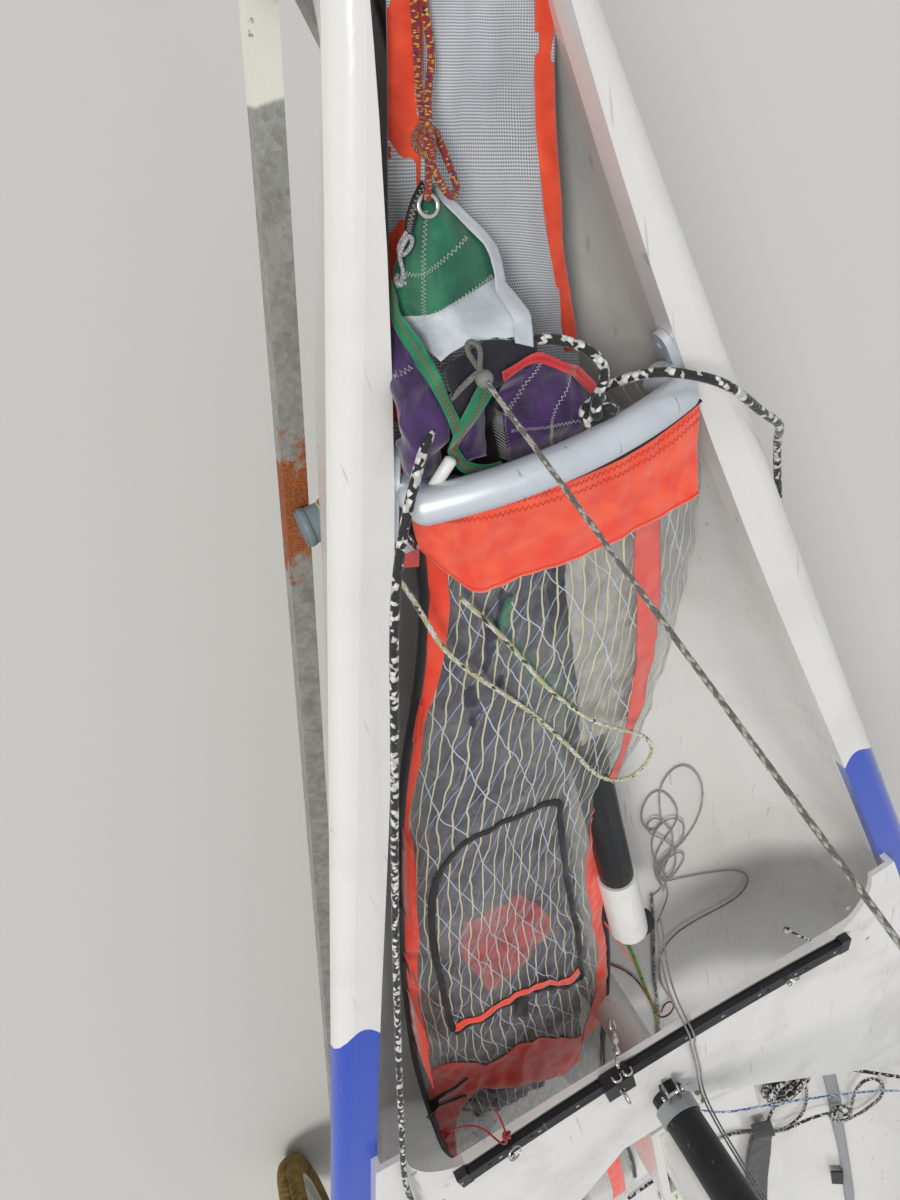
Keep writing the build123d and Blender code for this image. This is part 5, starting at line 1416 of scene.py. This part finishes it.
# In the cockpit a black and white sheet's tail lies in loose loops with a knot, and a blue and white
# control line crosses over it to the side deck.
TAIL_ROUTE = [
    (-547, 51, 568), (-536, -8, 568), (-534, -120, 567), (-539, -236, 566), (-628, -315, 565),
    (-716, -366, 562), (-786, -418, 556), (-816, -466, 553), (-790, -503, 554), (-720, -512, 557),
    (-640, -508, 561), (-572, -498, 566), (-534, -468, 570), (-522, -428, 571), (-542, -392, 572),
    (-590, -370, 575), (-650, -367, 577), (-718, -398, 575), (-762, -440, 572), (-780, -490, 571),
    (-784, -538, 579), (-778, -572, 592), (-800, -594, 605), (-778, -610, 617), (-732, -604, 619),
    (-698, -583, 612), (-708, -560, 603), (-752, -553, 599), (-798, -564, 601), (-822, -589, 609),
    (-798, -609, 621), (-732, -606, 623), (-660, -602, 625), (-590, -604, 629), (-532, -611, 637),
    (-504, -628, 648), (-522, -650, 661), (-580, -660, 666), (-652, -659, 658), (-718, -653, 643),
    (-780, -645, 629), (-834, -628, 613), (-872, -612, 599),
]
tail_rope = rope_finish(
    "sheet_tail_braid", tone(30, 30, 33), tone(214, 214, 208), 0.34, 3.2, 0.008, spotted=True
)
free_cord("sheet_tail", TAIL_ROUTE, 0.008, tail_rope)
BLUE_ROUTE = [
    (-282, -160, 565), (-300, -196, 584), (-316, -240, 602), (-334, -300, 616), (-354, -370, 634),
    (-374, -440, 654), (-394, -508, 674), (-412, -566, 692), (-430, -614, 708), (-446, -642, 718),
]
blue_line = rope_finish("blue_line_braid", tone(48, 108, 176), tone(214, 222, 228), 0.45, 0.6, 0.005)
free_cord("blue_line", BLUE_ROUTE, 0.005, blue_line)


# Small fittings screwed to the track and the thwart: countersunk screws, punched stop holes, two stop pins
# with split rings, and the jib car's loops with a snap swivel that hangs forward of them.
BEND_X, BEND_RADIUS, TRACK_TOP = -1986, 2650, 794


def on_track(side, height=0.0):
    """A point on the curved track's top at a distance to port, in millimetres."""
    return (BEND_X + (BEND_RADIUS**2 - side**2) ** 0.5, side, TRACK_TOP + height)


for index, side in enumerate((376, 343, 278, 213, 149, -40, -105, -172, -240, -315, -376)):
    seat = -0.2 if abs(side) < 370 else 4.2
    screw_head("track_screw_%d" % index, on_track(side, seat), 0.0036, screw_steel, dome=0.12)
# Painted shade: each stop hole is a flat near-black disc on the track, standing for the shade inside the
# hole.
hole_shade_disc = plastic("painted_shade_in_hole", tone(10, 10, 11), 0.9, 0.1, tone(16, 16, 16))
for index, side in enumerate((296, 226, -188, -260)):
    screw_head("stop_hole_%d" % index, on_track(side, 0.2), 0.0026, hole_shade_disc, dome=0.03)
for index, side in enumerate((262, -222)):
    foot = Vector(on_track(side))
    body = [(0.0, 0.0024), (0.006, 0.0024), (0.0062, 0.0036), (0.0094, 0.0036), (0.0098, 0.002)]
    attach(turned("stop_pin_%d" % index, body, 16, foot / 1000, screw_steel, axis="Z"), "boat")
    lean = (16, 10) if index == 0 else (-12, -18)
    hoop_spot = foot + Vector((10, -4, 9))
    for label, rise in (("stop_ring_%d", 0.0), ("stop_ring_turn_%d", 1.3)):
        split = ring(label % index, hoop_spot + Vector((0, 0, rise)), 11.0, 0.8, lean, stainless)
        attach(split, "boat")
for index, (x, y) in enumerate(((724, -348), (719, 392), (471, -41))):
    screw_head("deck_screw_%d" % index, (x, y, 780.4), 0.0046, screw_steel, dome=0.15)


def bow_wire(name, centre, width, height, wire, turn, material):
    """An upright horseshoe of wire on the car, on its two feet."""
    across = Vector((cos(radians(turn)), sin(radians(turn)), 0))
    route = []
    for step in range(13):
        angle = pi * step / 12
        lift = Vector((0, 0, height * (0.35 + 0.65 * sin(angle))))
        route.append(Vector(centre) + across * (-cos(angle) * width / 2) + lift * (1 if 0 < step < 12 else 0))
    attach(line(name, millimetres(route), wire, material), "car")


def lathe(name, profile, start, end, material, body="boat", steps=24):
    """A profile of (distance, radius) in millimetres, turned about the line from start to end."""
    start, end = Vector(start), Vector(end)
    turn_it = Vector((0, 0, 1)).rotation_difference(end - start).to_matrix()
    places = []
    rows = [(profile[0][0], 0.01)] + list(profile) + [(profile[-1][0], 0.01)]
    for step in range(steps):
        angle = 2 * pi * step / steps
        for along, radius in rows:
            spot = Vector((radius * cos(angle), radius * sin(angle), along))
            places.append((start + turn_it @ spot) / 1000)
    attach(shell(name, places, round_faces(steps, len(rows)), material), body)


for index, shift in enumerate((-9, 9)):
    bow_wire("car_loop_%d" % index, (687, 74 + shift, 796), 14, 9, 0.0036, 75, stainless)
SWIVEL = [
    (0, 2.2), (3, 4.6), (9, 5.0), (12, 2.6), (15, 2.6), (18, 5.2), (24, 6.0), (31, 5.2), (34, 2.6),
    (37, 2.0),
]
lathe("snap_swivel_body", SWIVEL, (712, 68, 784), (711, 56, 752), stainless, "car")
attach(ring("snap_swivel_eye", (711, 74, 792), 6.5, 1.7, (66, 10), stainless), "car")
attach(ring("snap_swivel_bow", (707, 51, 742), 8.5, 1.8, (60, 24), stainless), "car")
red_braid = rope_finish("red_cord_braid", tone(196, 20, 44), tone(120, 8, 26), 0.3, 0.3, 0.003)
RED_CORD = [
    (722, 257, 762), (712, 256, 773), (700, 257, 786), (690, 260, 796), (682, 266, 795), (684, 272, 788),
    (692, 278, 776), (697, 286, 764), (693, 300, 752), (680, 314, 742), (664, 326, 733), (650, 334, 725),
]
free_cord("red_cord", RED_CORD, 0.003, red_braid)
KNOB_CORD = [(668, -289, 768), (678, -281, 766), (688, -272, 761), (700, -261, 753)]
free_cord("stop_cord", KNOB_CORD, 0.004, tail_rope)


def knot(name, centre, size, thickness, material, seed=1):
    """An overhand knot: one thick line wound three times through itself."""
    route = []
    for step in range(25):
        angle = 2 * pi * step / 24
        reach = size * (0.62 + 0.38 * cos(3 * angle))
        turn = 2 * angle + seed
        spot = Vector((reach * cos(turn), reach * sin(turn), 0.62 * size * sin(3 * angle)))
        route.append(Vector(centre) + spot)
    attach(line(name, millimetres(route[:-1]), thickness, material, closed=True), "boat")


knot("red_knot_fore", (694, 258, 791), 6.0, 0.004, red_braid)
knot("red_knot_aft", (646, 338, 724), 7.0, 0.0045, red_braid, 2)
knot("stop_cord_knot", (703, -258, 752), 4.0, 0.0042, tail_rope, 3)
knot("sheet_knot", (1713, -36, 784), 12.0, 0.009, rope_black, 2)
knot("tail_knot", (-752, -576, 604), 13.0, 0.009, tail_rope, 4)
knot("head_lashing_knot", LASHING[-1], 5.0, 0.0035, bpy.data.materials["lashing_white"], 5)

# The mast's foot: an alloy fork pinned through the step, a dark bolt, and ties on the lines beside it.
fork_metal = metal("fork_alloy", tone(150, 150, 150), 0.34, 0.7)


def plate(name, outline, thick, material, bevel=0.6):
    """A flat plate from its outline in millimetres, extruded along the outline's own face."""
    places = [Vector(point) / 1000 for point in outline]
    way = (places[1] - places[0]).cross(places[2] - places[1]).normalized() * thick / 1000
    count = len(places)
    corners = places + [place + way for place in places]
    faces = [tuple(range(count - 1, -1, -1)), tuple(range(count, 2 * count))]
    faces += [(k, (k + 1) % count, (k + 1) % count + count, k + count) for k in range(count)]
    piece = shell(name, corners, faces, material, smooth=False)
    soft = piece.modifiers.new("edge", "BEVEL")
    soft.width = bevel / 1000
    soft.segments = 2
    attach(piece, "boat")


for index, side in enumerate((-11, 11)):
    outline = [(548, side, 786), (548, side, 800), (541, side, 808), (530, side, 811), (518, side, 808)]
    outline += [(514, side, 800), (514, side, 786)]
    plate("mast_fork_%d" % index, outline, 3.0 if side > 0 else -3.0, fork_metal)
pin_body = [
    (-0.019, 0.0001), (-0.019, 0.004), (-0.015, 0.0042), (-0.0148, 0.003), (0.0148, 0.003), (0.015, 0.0042)
]
pin_body += [(0.019, 0.004), (0.019, 0.0001)]
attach(turned("mast_fork_pin", pin_body, 18, (0.531, 0.0, 0.801), stainless), "boat")
for index, (x, y) in enumerate(((440, -52), (398, -60))):
    knot("line_tie_%d" % index, (x, y, 787), 4.5, 0.0024, rope_yellow, index)
cleat = [(0.0, 0.004), (0.003, 0.009), (0.012, 0.010), (0.015, 0.006), (0.020, 0.0055), (0.022, 0.001)]
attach(turned("mast_cleat", cleat, 20, (0.467, -0.034, 1.245), black_moulded, axis="Z"), "boat")


# In the cockpit: black webbing toe straps held off the floor, grey channel strips along the side decks with
# a clip, and a pair of round inspection hatches. Beside the hoop hang a bare tag and a white toggle.
STRAP_ROWS = [
    [(-540, -310, 580), (-590, -372, 580)], [(-600, -312, 596), (-650, -374, 596)],
    [(-650, -313, 582), (-700, -376, 582)], [(-752, -300, 580), (-850, -374, 578)],
    [(-900, -290, 580), (-980, -366, 578)], [(-1230, -285, 584), (-1230, -356, 584)],
    [(-1700, -285, 576), (-1700, -350, 576)],
]
CHANNEL_ROWS = [
    [(-560, -552, 563), (-560, -582, 578)], [(-731, -574, 571), (-736, -604, 586)],
    [(-934, -597, 572), (-935, -625, 588)], [(-1145, -624, 580), (-1139, -647, 595)],
    [(-1364, -640, 595), (-1350, -662, 612)], [(-1529, -645, 614), (-1509, -666, 632)],
]
channel_grey = plastic("channel_grey", tone(150, 153, 156), 0.45, 0.5, tone(110, 110, 108))
for label, side, strap_area in (("starboard", 1, 0.08146), ("port", -1, 0.08148)):
    strap_rows = [[(x, side * y, z) for x, y, z in row] for row in STRAP_ROWS]
    channel_rows = [[(x, side * y, z) for x, y, z in row] for row in CHANNEL_ROWS]
    strap = cloth("toe_strap_" + label, strap_rows, webbing_black, 9.0, 1.5, 60.0, 2.5, 61)
    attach(strap, "boat")
    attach(cloth("side_channel_" + label, channel_rows, channel_grey, 12.0, 0.0, 60.0, 4.0), "boat")
    clip = [(-1286, 598, 588), (-1286, 630, 606), (-1376, 632, 612), (-1376, 602, 594)]
    clip = [(x, -y * side, z) for x, y, z in clip]
    plate("channel_clip_" + label, clip, 7.0, black_moulded, bevel=2.0)
    lid = [(0, 78), (3, 78), (4.5, 76), (4.5, 64), (3.2, 62), (3.2, 30), (5.5, 28), (5.5, 22), (3.2, 20)]
    lathe("hatch_lid_" + label, lid, (-1180, -190 * side, 552.5), (-1180, -190 * side, 600), white_moulded)
TAG_OUTLINE = [(1650, 137, 748), (1643, 122, 748), (1620, 127, 744), (1626, 141, 744)]
tag_finish, tree, shader = finish("bare_tag", Roughness=0.45)
place, dirt = smudged(tree, 30.0, 0.6)
halfway = spread(tree, xyz(tree, place)[0], 1.6405, 1.6395)
tag_paint = blend_tone(tree, halfway, tone(196, 194, 194), tone(214, 84, 78))
feed(
    tree, shader,
    Base_Color=blend_tone(tree, times(tree, dirt["Smudge"], 0.6), tag_paint, tone(150, 120, 116)),
)
plate("bare_tag", TAG_OUTLINE, 1.2, tag_finish)
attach(ring("tag_shackle", (1656, 131, 755), 8.0, 1.6, (70, 20), stainless), "boat")
lathe("white_toggle", [(0, 3), (2, 5), (26, 5), (28, 3)], (1704, 106, 774), (1724, 86, 778), white_moulded)
lathe(
    "pole_end_plug", [(0, 23), (2.5, 24), (3.5, 20), (3.5, 8)], (754, -63, 648), (744, -66, 648),
    black_moulded,
)


# The trolley's small parts: a lip and lashing on the crossbar's sleeve, rubber grips and end caps on the
# drawbar's handle, dust caps over the axle nuts and bolts through the cradle chocks.
yellow_lashing = rope_finish("sleeve_lashing_braid", tone(206, 196, 120), tone(160, 150, 90), 0.4, 0.4, 0.004)
for label, side in (("port", 1), ("starboard", -1)):
    lip = [(0, 24.4), (4, 25.6), (8, 25.6), (10, 24.4)]
    lathe("sleeve_lip_" + label, lip, (1470, side * 158, 364), (1470, side * 200, 364), grey_pipe)
    wraps = []
    for step in range(37):
        angle = 2 * pi * step / 12
        wraps.append((1470 + 26 * cos(angle), side * (140 - step * 0.42), 364 + 26 * sin(angle)))
    wrap = line("sleeve_lashing_" + label, millimetres(wraps), 0.004, yellow_lashing)
    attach(wrap, "boat")
    cap = [(0, 24), (3, 24.5), (12, 22), (18, 15), (20, 4)]
    lathe(
        "axle_cap_" + label, cap, (-665, side * 841, 190), (-665, side * 900, 190), black_moulded,
        "wheel_" + label,
    )
    nut = [(0, 7.5), (6, 7.5), (7, 6), (7, 4.2), (11, 4.0), (11.5, 3)]
    for index, x in enumerate((-600, -550)):
        start = (x, side * 250, 268)
        lathe("chock_bolt_%s_%d" % (label, index), nut, start, (x, side * 250, 240), screw_steel, steps=6)
    grip = [(0, 18.5), (2, 20.5)]
    for rib in range(9):
        grip += [(6 + rib * 9, 20.5), (8 + rib * 9, 19.0), (11 + rib * 9, 19.0), (13 + rib * 9, 20.5)]
    grip += [(92, 20.5), (96, 18.5)]
    lathe("handle_grip_" + label, grip, (2745, side * 128, 420), (2745, side * 240, 420), rubber)


# The rig's small parts: turnbuckles at the feet of the shrouds and the forestay, swaged wire ends, tube
# plugs, the gooseneck's pin, the rudder's pivot bolt and a rubber joint on the tiller.
halyard_cover = rope_finish(
    "main_halyard_braid", tone(150, 150, 140), tone(96, 98, 92), 0.3, 5.0, 0.006, spotted=True
)
dress("boom_halyard", halyard_cover)
STAYS = (
    ("port", (36, 653, 790), (468, 26, 5180)),
    ("starboard", (36, -653, 790), (468, -26, 5180)),
    ("fore", (2123, 0, 782), (515, 0, 5160)),
)
barrel = [
    (0, 3.4), (8, 3.4), (9, 6.5), (14, 6.5), (15, 5.2), (70, 5.2), (71, 6.5), (76, 6.5), (77, 3.6),
    (100, 3.6),
]
barrel += [(101, 4.4), (140, 4.4), (143, 2.6)]
swage = [(0, 2.4), (3, 4.2), (42, 4.2), (46, 5.6), (54, 5.6), (56, 3)]
for label, foot, head in STAYS:
    way = (Vector(head) - Vector(foot)).normalized()
    start = Vector(foot) + way * 26
    lathe("turnbuckle_" + label, barrel, start, start + way, stainless)
    lathe("stay_swage_" + label, swage, Vector(head) - way * 88, Vector(head), stainless)
plug = [(0, 26.5), (3, 27.5), (6, 26), (8, 20), (8, 4)]
lathe("boom_end_plug", plug, (-1519, 0, 1624), (-1540, 0, 1626.4), black_moulded, "boom")
lathe("mast_head_plug", [(0, 20), (3, 20), (6, 16), (7, 5)], (485, 0, 7004), (485, 0, 7020), black_moulded)
lathe("gooseneck_pin", [(0, 7), (4, 7), (5, 4), (8, 4)], (423, 0, 1444), (423, 0, 1460), stainless)
bolt = [(-22, 4), (-22, 11), (-17, 12), (-16, 6), (16, 6), (17, 12), (22, 11), (22, 4)]
lathe("blade_pivot_bolt", bolt, (-2345, 0, 470), (-2345, 10, 470), stainless, "rudder")
joint = [(0, 13), (3, 15), (10, 14), (16, 11), (22, 14), (29, 15), (32, 13)]
lathe("extension_joint", joint, (-1367, 0, 849), (-1330, 0, 849), rubber, "extension")
spine = [(0, 12.4), (2, 13.4), (180, 13.4), (182, 12.4)]
lathe("extension_grip", spine, (-560, 0, 849), (-380, 0, 849), rubber, "extension")
